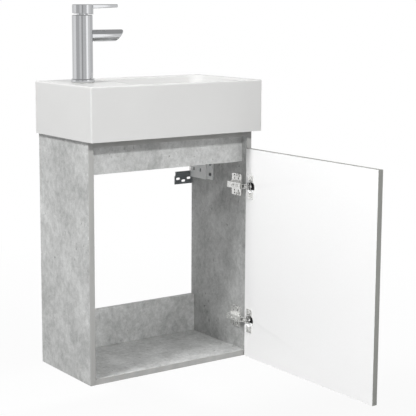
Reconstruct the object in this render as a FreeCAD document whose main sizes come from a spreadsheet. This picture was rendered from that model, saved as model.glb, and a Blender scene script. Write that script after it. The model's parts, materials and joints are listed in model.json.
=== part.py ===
import FreeCAD, Part
import Sketcher
import math
import os
from FreeCAD import Placement, Rotation, Vector

# Wall-hung vanity unit: board cabinet, ceramic basin, lever tap, one door on concealed hinges.
# Frame: X to the right, Y towards the wall, Z up. The wall is the plane Y = 0.
# The origin lies midway between the two wall plates, on the row of their upper slots.

doc = FreeCAD.newDocument("vanity_unit")
sheet = doc.addObject("Spreadsheet::Sheet", "Sizes")

# Driving dimensions in millimetres, and angles in degrees
SIZES = {
    # cabinet boards
    "carcass_width": 386.0,
    "carcass_depth": 196.0,
    "carcass_height": 474.0,
    "board": 12.0,
    "stretcher_waste_gap": 3.7,
    "front_rail_height": 54.0,
    "front_rail_setback": 16.0,
    "rear_top_rail_height": 70.0,
    "rear_bottom_rail_height": 82.0,
    "hang_drop": 121.0,
    # board fittings
    "dowel_radius": 3.0,
    "dowel_length": 30.0,
    "socket_depth": 8.0,
    "cam_radius": 6.0,
    "cam_height": 9.5,
    "cam_setback": 24.0,
    "cam_bolt_radius": 3.0,
    "cam_thread_radius": 2.5,
    "cam_bolt_clearance": 0.1,
    "fitting_inset": 20.0,
    # basin
    "basin_width": 400.0,
    "basin_depth": 220.0,
    "basin_height": 104.0,
    "basin_wall": 11.0,
    "basin_edge_radius": 3.0,
    "bowl_lip_radius": 5.0,
    "deck_width": 112.0,
    "deck_thickness": 14.0,
    "rim_width": 14.0,
    "bowl_depth": 80.0,
    "bowl_inset": 12.0,
    "bowl_corner_radius": 26.0,
    "bowl_floor_radius": 16.0,
    "tap_inset": 50.0,
    "tap_front_distance": 116.0,
    "tap_hole_radius": 17.5,
    "waste_hole_radius": 22.6,
    "waste_recess_radius": 33.0,
    "waste_recess_depth": 2.0,
    # waste fitting
    "waste_flange_radius": 31.5,
    "waste_flange_thickness": 2.5,
    "waste_thread_radius": 22.0,
    "waste_thread_length": 45.0,
    "waste_tail_radius": 16.0,
    "waste_tail_length": 26.0,
    "waste_wall": 2.0,
    "plug_radius": 30.0,
    "plug_thickness": 5.0,
    "plug_lift": 7.0,
    "plug_seat_gap": 0.3,
    "plug_stem_radius": 5.0,
    "plug_stem_length": 22.0,
    "plug_guide_clearance": 0.05,
    "waste_washer_radius": 31.0,
    "waste_washer_thickness": 4.0,
    "waste_nut_width": 56.0,
    "waste_nut_thickness": 10.0,
    # tap
    "ring_radius": 23.0,
    "ring_height": 7.0,
    "ring_shoulder": 1.5,
    "tap_radius": 20.0,
    "tap_body_top": 130.0,
    "tap_shoulder": 1.5,
    "spout_radius": 11.5,
    "spout_height": 90.0,
    "spout_reach": 92.0,
    "spout_bore_radius": 8.0,
    "spout_tip_angle": 40.0,
    "spout_tip_radius": 2.5,
    "aerator_length": 7.0,
    "aerator_clearance": 0.1,
    "waterway_radius": 5.0,
    "riser_radius": 6.0,
    "inlet_radius": 4.5,
    "inlet_offset": 9.0,
    "inlet_depth": 30.0,
    "cartridge_radius": 17.5,
    "cartridge_height": 27.0,
    "cartridge_nut_height": 6.0,
    "cartridge_boss_radius": 10.5,
    "cartridge_boss_height": 3.2,
    "carrier_radius": 6.0,
    "carrier_clearance": 0.06,
    "carrier_height": 9.0,
    "carrier_ear_width": 10.0,
    "carrier_ear_radius": 4.5,
    "lever_pin_radius": 1.5,
    "lever_pin_setback": 9.0,
    "lever_pin_height": 12.0,
    "cap_radius": 20.5,
    "cap_forward": 1.2,
    "cap_wall": 2.5,
    "cap_top": 150.0,
    "cap_front_gap": 0.7,
    "cap_rear_gap": 3.6,
    "lever_reach": 79.0,
    "lever_width": 13.0,
    "lever_root_thickness": 8.0,
    "lever_tip_thickness": 6.0,
    "lever_tip_radius": 5.9,
    "gasket_radius": 21.5,
    "gasket_thickness": 1.0,
    "stud_radius": 3.0,
    "stud_offset": 9.0,
    "stud_length": 62.0,
    "clamp_washer_radius": 24.0,
    "clamp_pad_thickness": 3.0,
    "clamp_plate_thickness": 2.0,
    "stud_nut_width": 10.0,
    "stud_nut_height": 6.0,
    # door and its concealed hinges
    "door_thickness": 12.0,
    "door_gap": 3.0,
    "door_reveal": 1.0,
    "door_top_drop": 37.0,
    "door_edge_radius": 0.8,
    "open_step": 2.5,
    "open_inset": 3.4,
    "hinge_end_distance": 78.0,
    "cup_radius": 13.0,
    "cup_wall": 0.7,
    "cup_floor": 0.6,
    "cup_edge_distance": 3.0,
    "cup_depth": 9.7,
    "flange_height": 49.6,
    "flange_width": 16.0,
    "flange_thickness": 1.2,
    "cup_screw_spacing": 38.0,
    "long_pivot_edge": 6.9,
    "long_pivot_depth": 1.9,
    "short_pivot_edge": 7.5,
    "short_pivot_depth": 6.1,
    "long_link_turn": 21.4,
    "short_link_turn": 6.0,
    "hinge_pin_radius": 0.9,
    "hinge_pin_clearance": 0.05,
    "slot_side_play": 0.2,
    "slot_spare_share": 0.25,
    "link_eye_radius": 1.65,
    "link_half_width": 1.25,
    "short_link_height": 4.6,
    "link_gap": 0.2,
    "prong_thickness": 1.0,
    "long_link_sheet": 1.2,
    "arm_sheet": 1.1,
    "long_bend_back": 4.7,
    "long_bend_drop": 0.6,
    "short_crank_out": 0.3,
    "short_crank_back": 1.1,
    "arm_top_height": 14.6,
    "arm_front": 3.5,
    "arm_rear": 46.0,
    "plate_front": 15.0,
    "plate_width": 32.0,
    "plate_height": 45.0,
    "plate_thickness": 2.0,
    "plate_boss_height": 4.0,
    "plate_boss_width": 15.0,
    "plate_corner_radius": 4.0,
    "plate_column": 6.5,
    "plate_near_row": 12.5,
    "plate_far_row": 18.5,
    "plate_notch_width": 2.4,
    "plate_notch_depth": 6.0,
    "screw_radius": 1.9,
    "screw_head_radius": 3.6,
    "screw_head_height": 1.5,
    "screw_length": 10.0,
    "adjuster_radius": 3.0,
    # cabinet hangers and wall plates
    "hanger_depth": 72.0,
    "hanger_height": 45.0,
    "hanger_thickness": 10.0,
    "hanger_wall": 2.0,
    "hanger_flange_depth": 14.0,
    "hanger_flange_sheet": 3.5,
    "hanger_window": 7.0,
    "hanger_above_slots": 4.4,
    "hanger_wall_gap": 10.0,
    "wall_plate_length": 45.0,
    "wall_plate_sheet": 2.5,
    "wall_plate_below": 11.8,
    "wall_plate_above": 16.4,
    "wall_plate_joggle": 3.5,
    "wall_plate_side_gap": 0.5,
    "slot_length": 11.0,
    "slot_width": 5.2,
    "slot_spacing": 28.0,
    "middle_slot_drop": 5.0,
    "hook_sheet": 3.0,
    "hook_lip": 7.0,
    "hook_clearance": 0.3,
}


class Size:
    """A number together with the spreadsheet expression that gives it."""

    def __init__(self, value, text):
        self.value = value
        self.text = text

    @staticmethod
    def of(other):
        if isinstance(other, Size):
            return other
        return Size(float(other), repr(float(other)))

    def join(self, other, sign, value):
        return Size(value, f"({self.text} {sign} {other.text})")

    def __add__(self, other):
        other = Size.of(other)
        return self.join(other, "+", self.value + other.value)

    def __radd__(self, other):
        return Size.of(other) + self

    def __sub__(self, other):
        other = Size.of(other)
        return self.join(other, "-", self.value - other.value)

    def __rsub__(self, other):
        return Size.of(other) - self

    def __mul__(self, other):
        other = Size.of(other)
        return self.join(other, "*", self.value * other.value)

    def __rmul__(self, other):
        return Size.of(other) * self

    def __truediv__(self, other):
        other = Size.of(other)
        return self.join(other, "/", self.value / other.value)

    def __neg__(self):
        return Size(-self.value, f"(0 - {self.text})")

    def __float__(self):
        return self.value


class Sheet:
    """The driving dimensions, read by name."""


S = Sheet()
for row, (alias, number) in enumerate(SIZES.items(), 1):
    sheet.set(f"A{row}", alias)
    sheet.set(f"B{row}", str(number))
    sheet.setAlias(f"B{row}", alias)
    setattr(S, alias, Size(number, f"Sizes.{alias}"))
doc.recompute()

# Helpers that make document objects bound to the sheet

TURN_TO = {
    "+z": Rotation(),
    "-z": Rotation(Vector(1, 0, 0), 180),
    "+x": Rotation(Vector(0, 1, 0), 90),
    "-x": Rotation(Vector(0, 1, 0), -90),
    "+y": Rotation(Vector(1, 0, 0), -90),
    "-y": Rotation(Vector(1, 0, 0), 90),
}
NODES = []


def bind(thing, prop, size):
    size = Size.of(size)
    thing.setExpression(prop, size.text)


def place(thing, at, turn=None):
    thing.Placement = Placement(Vector(*[float(v) for v in at]), turn or Rotation())
    for letter, size in zip("xyz", at):
        bind(thing, f"Placement.Base.{letter}", size)
    return thing


def box(name, size, at):
    thing = doc.addObject("Part::Box", name)
    for prop, value in zip(("Length", "Width", "Height"), size):
        bind(thing, prop, value)
    return place(thing, at)


def rod(name, radius, length, at, axis="+z"):
    thing = doc.addObject("Part::Cylinder", name)
    bind(thing, "Radius", radius)
    bind(thing, "Height", length)
    return place(thing, at, TURN_TO[axis])


def hexagon(name, across_flats, height, at):
    prism = doc.addObject("Part::Prism", name)
    prism.Polygon = 6
    bind(prism, "Circumradius", across_flats / math.sqrt(3))
    bind(prism, "Height", height)
    return place(prism, at)


def fuse(name, parts):
    thing = doc.addObject("Part::MultiFuse", name)
    thing.Shapes = parts
    return thing


def group(name, parts):
    thing = doc.addObject("Part::Compound", name)
    thing.Links = parts
    return thing


def cut(name, base, tools):
    thing = doc.addObject("Part::Cut", name)
    thing.Base = base
    thing.Tool = tools[0] if len(tools) == 1 else fuse(f"{name}_cutters", tools)
    return thing


def rounded(name, base, radius, chosen):
    """Fillet the edges of base that chosen(edge) accepts."""
    doc.recompute()
    thing = doc.addObject("Part::Fillet", name)
    thing.Base = base
    edges = []
    for number, edge in enumerate(base.Shape.Edges, 1):
        if chosen(edge):
            edges.append((number, float(radius), float(radius)))
    thing.Edges = edges
    return thing


def origin_plane(body, role):
    return [item for item in body.Origin.OriginFeatures if item.Role == role][0]


def outline(body, name, plane, points):
    """A closed sketch of straight lines, each corner held to the sheet."""
    sketch = body.newObject("Sketcher::SketchObject", name)
    sketch.AttachmentSupport = [(origin_plane(body, plane), "")]
    sketch.MapMode = "FlatFace"
    corners = [Vector(float(x), float(y), 0) for x, y in points]
    for first, second in zip(corners, corners[1:] + corners[:1]):
        sketch.addGeometry(Part.LineSegment(first, second))
    count = len(corners)
    for index in range(count):
        sketch.addConstraint(Sketcher.Constraint("Coincident", index, 2, (index + 1) % count, 1))
    for index, point in enumerate(points):
        for kind, size in zip(("DistanceX", "DistanceY"), point):
            held = Sketcher.Constraint(kind, -1, 1, index, 1, float(size))
            number = sketch.addConstraint(held)
            bind(sketch, f"Constraints[{number}]", size)
    return sketch


def turned(name, points, at):
    """A body of revolution from radius and height pairs."""
    body = doc.addObject("PartDesign::Body", name)
    sketch = outline(body, f"{name}_profile", "XZ_Plane", points)
    spin = body.newObject("PartDesign::Revolution", f"{name}_spin")
    spin.Profile = sketch
    spin.ReferenceAxis = (sketch, ["V_Axis"])
    spin.Angle = 360
    return place(body, at)


def plate(name, plane, points, thickness, at):
    """A padded outline; the pad grows along the plane's normal."""
    body = doc.addObject("PartDesign::Body", name)
    sketch = outline(body, f"{name}_outline", plane, points)
    pad = body.newObject("PartDesign::Pad", f"{name}_pad")
    pad.Profile = sketch
    bind(pad, "Length", thickness)
    return place(body, at)


def solid(name, shape, turn=None):
    """A piece whose outline is worked out in plan, such as a hinge link."""
    thing = doc.addObject("Part::Feature", name)
    thing.Shape = shape
    thing.Placement = turn or Placement()
    return thing


def node(label, thing):
    thing.Label = label
    NODES.append(thing)
    return thing


def vertical(edge):
    first, last = edge.Vertexes[0].Point, edge.Vertexes[-1].Point
    return abs(first.z - last.z) > 0.5 * (first - last).Length


# Places that several pieces share

carcass_top = S.hang_drop
carcass_bottom = S.hang_drop - S.carcass_height
half_width = S.carcass_width / 2
inner_face = half_width - S.board
inner_width = S.carcass_width - 2 * S.board
front = -S.carcass_depth

# Cabinet boards: where each cross board meets the side panels, with its fittings.
# A fitting is a (y, z) place on the side panels, and the direction that the cam is let in from.

bottom_mid = carcass_bottom + S.board / 2
stretcher_mid = carcass_top - S.board / 2
stretcher_rear = -S.basin_depth / 2 - S.waste_nut_width / math.sqrt(3) - S.stretcher_waste_gap
stretcher_depth = stretcher_rear - front
front_rail_top = carcass_top - S.board
front_rail_bottom = front_rail_top - S.front_rail_height
front_rail_y = front + S.front_rail_setback
rear_mid = -S.board / 2
rear_bottom_rail_bottom = carcass_bottom + S.board
rear_bottom_rail_top = rear_bottom_rail_bottom + S.rear_bottom_rail_height
rear_top_rail_bottom = carcass_top - S.rear_top_rail_height

BOARDS = {
    "bottom_panel": {
        "size": (inner_width, S.carcass_depth, S.board),
        "at": (-inner_face, front, carcass_bottom),
        "cams": [(front / 2, bottom_mid)],
        "dowels": [(front + S.fitting_inset, bottom_mid), (-S.fitting_inset, bottom_mid)],
        "cam_side": "-z",
    },
    "top_stretcher": {
        "size": (inner_width, stretcher_depth, S.board),
        "at": (-inner_face, front, front_rail_top),
        "cams": [(stretcher_rear - S.cam_radius - S.board / 2, stretcher_mid)],
        "dowels": [(front + S.fitting_inset / 2, stretcher_mid)],
        "cam_side": "+z",
    },
    "front_rail": {
        "size": (inner_width, S.board, S.front_rail_height),
        "at": (-inner_face, front_rail_y, front_rail_bottom),
        "cams": [(front_rail_y + S.board / 2, front_rail_bottom + S.fitting_inset)],
        "dowels": [(front_rail_y + S.board / 2, front_rail_top - S.fitting_inset)],
        "cam_side": "+y",
    },
    "rear_top_rail": {
        "size": (inner_width, S.board, S.rear_top_rail_height),
        "at": (-inner_face, -S.board, rear_top_rail_bottom),
        "cams": [(rear_mid, rear_top_rail_bottom + S.fitting_inset)],
        "dowels": [(rear_mid, carcass_top - S.fitting_inset)],
        "cam_side": "+y",
    },
    "rear_bottom_rail": {
        "size": (inner_width, S.board, S.rear_bottom_rail_height),
        "at": (-inner_face, -S.board, rear_bottom_rail_bottom),
        "cams": [(rear_mid, rear_bottom_rail_top - S.fitting_inset)],
        "dowels": [(rear_mid, rear_bottom_rail_bottom + S.fitting_inset)],
        "cam_side": "+y",
    },
}
OPPOSITE = {"+z": "-z", "-z": "+z", "+y": "-y"}
SIDES = {"left": -1, "right": 1}


def outward(side):
    return "+x" if side == 1 else "-x"


def cam_face(board):
    """The face that the cams are let into, as a height or depth."""
    x, y, z = board["at"]
    if board["cam_side"] == "-z":
        return z
    if board["cam_side"] == "+z":
        return z + S.board
    return y + S.board


def cam_at(board, side, spot):
    """The centre of a cam, on the face that it is let into."""
    x = side * (inner_face - S.cam_setback)
    if board["cam_side"] == "+y":
        return (x, cam_face(board), spot[1])
    return (x, spot[0], cam_face(board))


side_holes = {"left": [], "right": []}
dowels = []
cam_bolts = []
cam_locks = []
for label, board in BOARDS.items():
    blank = box(f"{label}_blank", board["size"], board["at"])
    bores = []
    for side_name, side in SIDES.items():
        tag = f"{label}_{side_name}"
        for spot in board["dowels"]:
            start = (side * (inner_face + S.socket_depth), *spot)
            inward = outward(-side)
            dowels.append(rod(f"{tag}_dowel", S.dowel_radius, S.dowel_length, start, inward))
            bores.append(rod(f"{tag}_dowel_bore", S.dowel_radius, S.dowel_length, start, inward))
            side_holes[side_name].append(
                rod(f"{tag}_dowel_socket", S.dowel_radius, S.dowel_length, start, inward))
        for spot in board["cams"]:
            start = (side * (inner_face + S.socket_depth), *spot)
            seat = (side * inner_face, *spot)
            inward = outward(-side)
            thread = rod(f"{tag}_thread", S.cam_thread_radius, S.socket_depth, start, inward)
            shank = rod(f"{tag}_shank", S.cam_bolt_radius, S.cam_setback, seat, inward)
            cam_bolts.append(fuse(f"{tag}_bolt", [thread, shank]))
            side_holes[side_name].append(
                rod(f"{tag}_thread_hole", S.cam_thread_radius, S.socket_depth, start, inward))
            loose = S.cam_bolt_radius + S.cam_bolt_clearance
            bores.append(rod(f"{tag}_bolt_bore", loose, S.cam_setback, seat, inward))
            centre = cam_at(board, side, spot)
            into = OPPOSITE[board["cam_side"]]
            bores.append(rod(f"{tag}_cam_bore", S.cam_radius, S.cam_height, centre, into))
            drum = rod(f"{tag}_cam_drum", S.cam_radius, S.cam_height, centre, into)
            mouth = rod(f"{tag}_cam_mouth", loose, S.cam_setback, seat, inward)
            cam_locks.append(cut(f"{tag}_cam", drum, [mouth]))
    node(label, cut(f"{label}_bored", blank, bores))

node("wooden_dowels", group("dowel_set", dowels))
node("cam_bolts", group("cam_bolt_set", cam_bolts))
node("cam_locks", group("cam_lock_set", cam_locks))

# Door geometry in plan. It is worked out with the door shut and then turned to the open pose.
# u runs right from the right panel's inner face, v runs back from the panels' front edges.


def turn_plan(point, angle, about=(0.0, 0.0)):
    x, y = point[0] - about[0], point[1] - about[1]
    c, s = math.cos(angle), math.sin(angle)
    return (about[0] + c * x - s * y, about[1] + s * x + c * y)


def turning_centre(before, after, angle):
    """The point about which a turn by angle takes one plan point to the other."""
    x, y = turn_plan(before, angle)
    dx, dy = after[0] - x, after[1] - y
    m, s = 1 - math.cos(angle), math.sin(angle)
    scale = m * m + s * s
    return ((m * dx - s * dy) / scale, (s * dx + m * dy) / scale)


def world(point, z=0.0):
    return Vector(float(inner_face) + point[0], float(front) + point[1], z)


QUARTER = math.pi / 2
door_edge = float(S.board - S.door_reveal)
door_gap = float(S.door_gap)
swing_centre = (
    (-float(S.open_inset) - door_gap + float(S.open_step) + door_edge) / 2,
    (-float(S.open_inset) - door_gap - float(S.open_step) - door_edge) / 2,
)
long_cup_pivot = (door_edge - float(S.long_pivot_edge), -door_gap - float(S.long_pivot_depth))
short_cup_pivot = (door_edge - float(S.short_pivot_edge), -door_gap - float(S.short_pivot_depth))
long_turn = -math.radians(float(S.long_link_turn))
short_turn = -math.radians(float(S.short_link_turn))
long_cup_open = turn_plan(long_cup_pivot, QUARTER, swing_centre)
short_cup_open = turn_plan(short_cup_pivot, QUARTER, swing_centre)
long_arm_pivot = turning_centre(long_cup_pivot, long_cup_open, long_turn)
short_arm_pivot = turning_centre(short_cup_pivot, short_cup_open, short_turn)


def pose_about(plan_point, angle):
    """The placement that turns a shut piece about a vertical line in plan."""
    centre = world(plan_point)
    return Placement(Vector(), Rotation(Vector(0, 0, 1), math.degrees(angle)), centre)


DOOR_POSE = pose_about(swing_centre, QUARTER)
LONG_POSE = pose_about(long_arm_pivot, long_turn)
SHORT_POSE = pose_about(short_arm_pivot, short_turn)

door_top = carcass_top - S.door_top_drop
door_height = door_top - carcass_bottom
door_width = S.carcass_width - 2 * S.door_reveal
hinge_heights = {
    "upper": door_top - S.hinge_end_distance,
    "lower": carcass_bottom + S.hinge_end_distance,
}
cup_x = half_width - S.door_reveal - S.cup_edge_distance - S.cup_radius
door_inner_y = front - S.door_gap

# Hinges: one of each piece at each height


def disc(point, radius, low, high):
    return Part.makeCylinder(radius, high - low, world(point, low))


def bar(points, half, low, high):
    """A flat bar of even width along a plan path, with round ends and bends."""
    pieces = [disc(point, half, low, high) for point in points]
    for first, last in zip(points, points[1:]):
        a, b = world(first, low), world(last, low)
        along = (b - a).normalize()
        across = Vector(-along.y, along.x, 0) * half
        side = Part.makePolygon([a + across, b + across, b - across, a - across, a + across])
        pieces.append(Part.Face(side).extrude(Vector(0, 0, high - low)))
    return pieces[0].multiFuse(pieces[1:]).removeSplitter()


def prism(points, low, high):
    corners = [world(point, low) for point in points]
    return Part.Face(Part.makePolygon([*corners, corners[0]])).extrude(Vector(0, 0, high - low))


def plan_box(u0, u1, v0, v1, low, high):
    return Part.makeBox(u1 - u0, v1 - v0, high - low, world((u0, v0), low))


def pair(z, inside, outside, make):
    """The same layer below and above the hinge's middle height."""
    return [make(z - outside, z - inside), make(z + inside, z + outside)]


pin_r = float(S.hinge_pin_radius)
pin_hole_r = pin_r + float(S.hinge_pin_clearance)
eye_r = float(S.link_eye_radius)
link_w = float(S.link_half_width)
gap = float(S.link_gap)
nose_r = eye_r + gap
short_z = float(S.short_link_height) / 2
prong_in = short_z + gap
prong_out = prong_in + float(S.prong_thickness)
long_in = prong_out + gap
long_out = long_in + float(S.long_link_sheet)
cheek_in = long_out + gap
cheek_out = cheek_in + float(S.arm_sheet)
cup_inner_r = float(S.cup_radius - S.cup_wall)
cup_mid = door_edge - float(S.cup_edge_distance) - float(S.cup_radius)
long_pin_end = math.sqrt(cup_inner_r ** 2 - (long_cup_pivot[0] - cup_mid) ** 2)
short_pin_end = math.sqrt(cup_inner_r ** 2 - (short_cup_pivot[0] - cup_mid) ** 2)


def slot_reach():
    """How far the cup's pin wanders from the short link's eye while the door swings."""
    farthest = (0.0, 0.0)
    for step in range(1, 60):
        part_way = step / 60
        carried = turn_plan(long_cup_pivot, long_turn * part_way, long_arm_pivot)
        between = (short_cup_pivot[0] - long_cup_pivot[0], short_cup_pivot[1] - long_cup_pivot[1])
        offset = turn_plan(between, QUARTER * part_way)
        pin = (carried[0] + offset[0], carried[1] + offset[1])
        seen = turn_plan(pin, -short_turn * part_way, short_arm_pivot)
        wander = (seen[0] - short_cup_pivot[0], seen[1] - short_cup_pivot[1])
        if math.hypot(*wander) > math.hypot(*farthest):
            farthest = wander
    return farthest


def long_link(z):
    """Two cheeks from the arm's pivot to the cup's pivot, bent round the door's edge."""
    bend = (long_cup_pivot[0] - float(S.long_bend_back), long_cup_pivot[1] - float(S.long_bend_drop))
    run = math.hypot(bend[0] - long_arm_pivot[0], bend[1] - long_arm_pivot[1])
    along = ((bend[0] - long_arm_pivot[0]) / run, (bend[1] - long_arm_pivot[1]) / run)
    aside = (along[1], -along[0])

    def spot(distance, offset):
        return (long_arm_pivot[0] + along[0] * distance + aside[0] * offset,
                long_arm_pivot[1] + along[1] * distance + aside[1] * offset)

    def cheek(low, high):
        strip = bar([long_arm_pivot, bend, long_cup_pivot], link_w, low, high)
        eyes = [disc(long_arm_pivot, eye_r, low, high), disc(long_cup_pivot, eye_r, low, high)]
        return strip.multiFuse(eyes)

    reach = 3 * eye_r
    web = prism([spot(0, pin_hole_r + gap), spot(0, nose_r), spot(reach, nose_r),
                 spot(reach, pin_hole_r + gap)], z - long_out, z + long_out)
    cheeks = pair(z, long_in, long_out, cheek)
    shape = cheeks[0].multiFuse([cheeks[1], web])
    for end in (long_arm_pivot, long_cup_pivot):
        shape = shape.cut(disc(end, pin_hole_r, z - cheek_out, z + cheek_out))
    return shape.removeSplitter()


def short_link(z):
    """A flat link, cranked round the door's edge, with a slotted eye for the cup's pin."""
    crank = (short_arm_pivot[0] + float(S.short_crank_out), short_cup_pivot[1] + float(S.short_crank_back))
    wander = slot_reach()
    slot_end = (short_cup_pivot[0] + wander[0], short_cup_pivot[1] + wander[1])
    low, high = z - short_z, z + short_z
    strip = bar([short_arm_pivot, crank, short_cup_pivot], link_w, low, high)
    ends = [disc(short_arm_pivot, eye_r, low, high), bar([short_cup_pivot, slot_end], eye_r, low, high)]
    shape = strip.multiFuse(ends)
    shape = shape.cut(disc(short_arm_pivot, pin_hole_r, low, high))
    spare = float(S.slot_spare_share)
    slot_start = (short_cup_pivot[0] - wander[0] * spare, short_cup_pivot[1] - wander[1] * spare)
    slot = bar([slot_start, slot_end], pin_hole_r + float(S.slot_side_play), low, high)
    return shape.cut(slot).removeSplitter()


arm_top = -float(S.arm_top_height)
arm_foot = -float(S.plate_boss_height)
adjuster_places = [float(S.plate_front), float(S.plate_front) + 4 * float(S.adjuster_radius)]


def hinge_arm(z):
    """A folded steel arm: two cheeks and a top, with two prongs that reach out to the short link."""
    front_v, rear_v = float(S.arm_front), float(S.arm_rear)
    plate_v = float(S.plate_front)
    sheet_t = float(S.arm_sheet)
    side = [(arm_top, front_v), (arm_top, rear_v), (arm_foot, rear_v), (arm_foot, plate_v),
            (long_arm_pivot[0] + 2 * nose_r, front_v)]
    pieces = pair(z, cheek_in, cheek_out, lambda low, high: prism(side, low, high))
    pieces.append(plan_box(arm_top, arm_top + sheet_t, front_v, rear_v, z - cheek_out, z + cheek_out))
    root = (short_arm_pivot[0], plate_v + 4 * nose_r)
    pieces += pair(z, prong_in, prong_out, lambda low, high: bar([root, short_arm_pivot], nose_r, low, high))
    pieces.append(plan_box(short_arm_pivot[0] - nose_r, arm_foot, plate_v + nose_r, root[1],
                           z - cheek_out, z + cheek_out))
    shape = pieces[0].multiFuse(pieces[1:])
    shape = shape.cut(plan_box(arm_foot, 0, plate_v - gap, rear_v, z - cheek_out, z + cheek_out))
    for pivot in (long_arm_pivot, short_arm_pivot):
        shape = shape.cut(disc(pivot, pin_r, z - cheek_out, z + cheek_out))
    for v in adjuster_places:
        start = world((arm_top, v), z)
        shape = shape.cut(Part.makeCylinder(float(S.screw_radius), sheet_t, start, Vector(1, 0, 0)))
    return shape.removeSplitter()


def hinge_cup(name, z):
    """A pressed pot with a fixing wing above and below its mouth."""
    mouth_y = door_inner_y
    top_y = mouth_y + S.flange_thickness
    pot = rod(f"{name}_pot", S.cup_radius, S.cup_depth, (cup_x, mouth_y - S.cup_depth, z), "+y")
    neck = rod(f"{name}_neck", S.cup_radius, S.flange_thickness, (cup_x, mouth_y, z), "+y")
    wing_at = (cup_x - S.flange_width / 2, mouth_y, z - S.flange_height / 2)
    wing_size = (S.flange_width, S.flange_thickness, S.flange_height)
    wings = box(f"{name}_wings", wing_size, wing_at)
    strip = box(f"{name}_strip", wing_size, wing_at)
    rim = doc.addObject("Part::Common", f"{name}_rim")
    rim.Base = neck
    rim.Tool = strip
    hollow_r = S.cup_radius - S.cup_wall
    hollow_y = mouth_y - S.cup_depth + S.cup_floor
    hollow = rod(f"{name}_hollow", hollow_r, top_y - hollow_y, (cup_x, hollow_y, z), "+y")
    holes = [hollow]
    for sign in (-1, 1):
        at = (cup_x, mouth_y, z + sign * S.cup_screw_spacing / 2)
        holes.append(rod(f"{name}_screw_hole", S.screw_radius, S.flange_thickness, at, "+y"))
    cup = cut(f"{name}_shell", fuse(f"{name}_blank", [pot, rim, wings]), holes)
    doc.recompute()
    return cup


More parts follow.
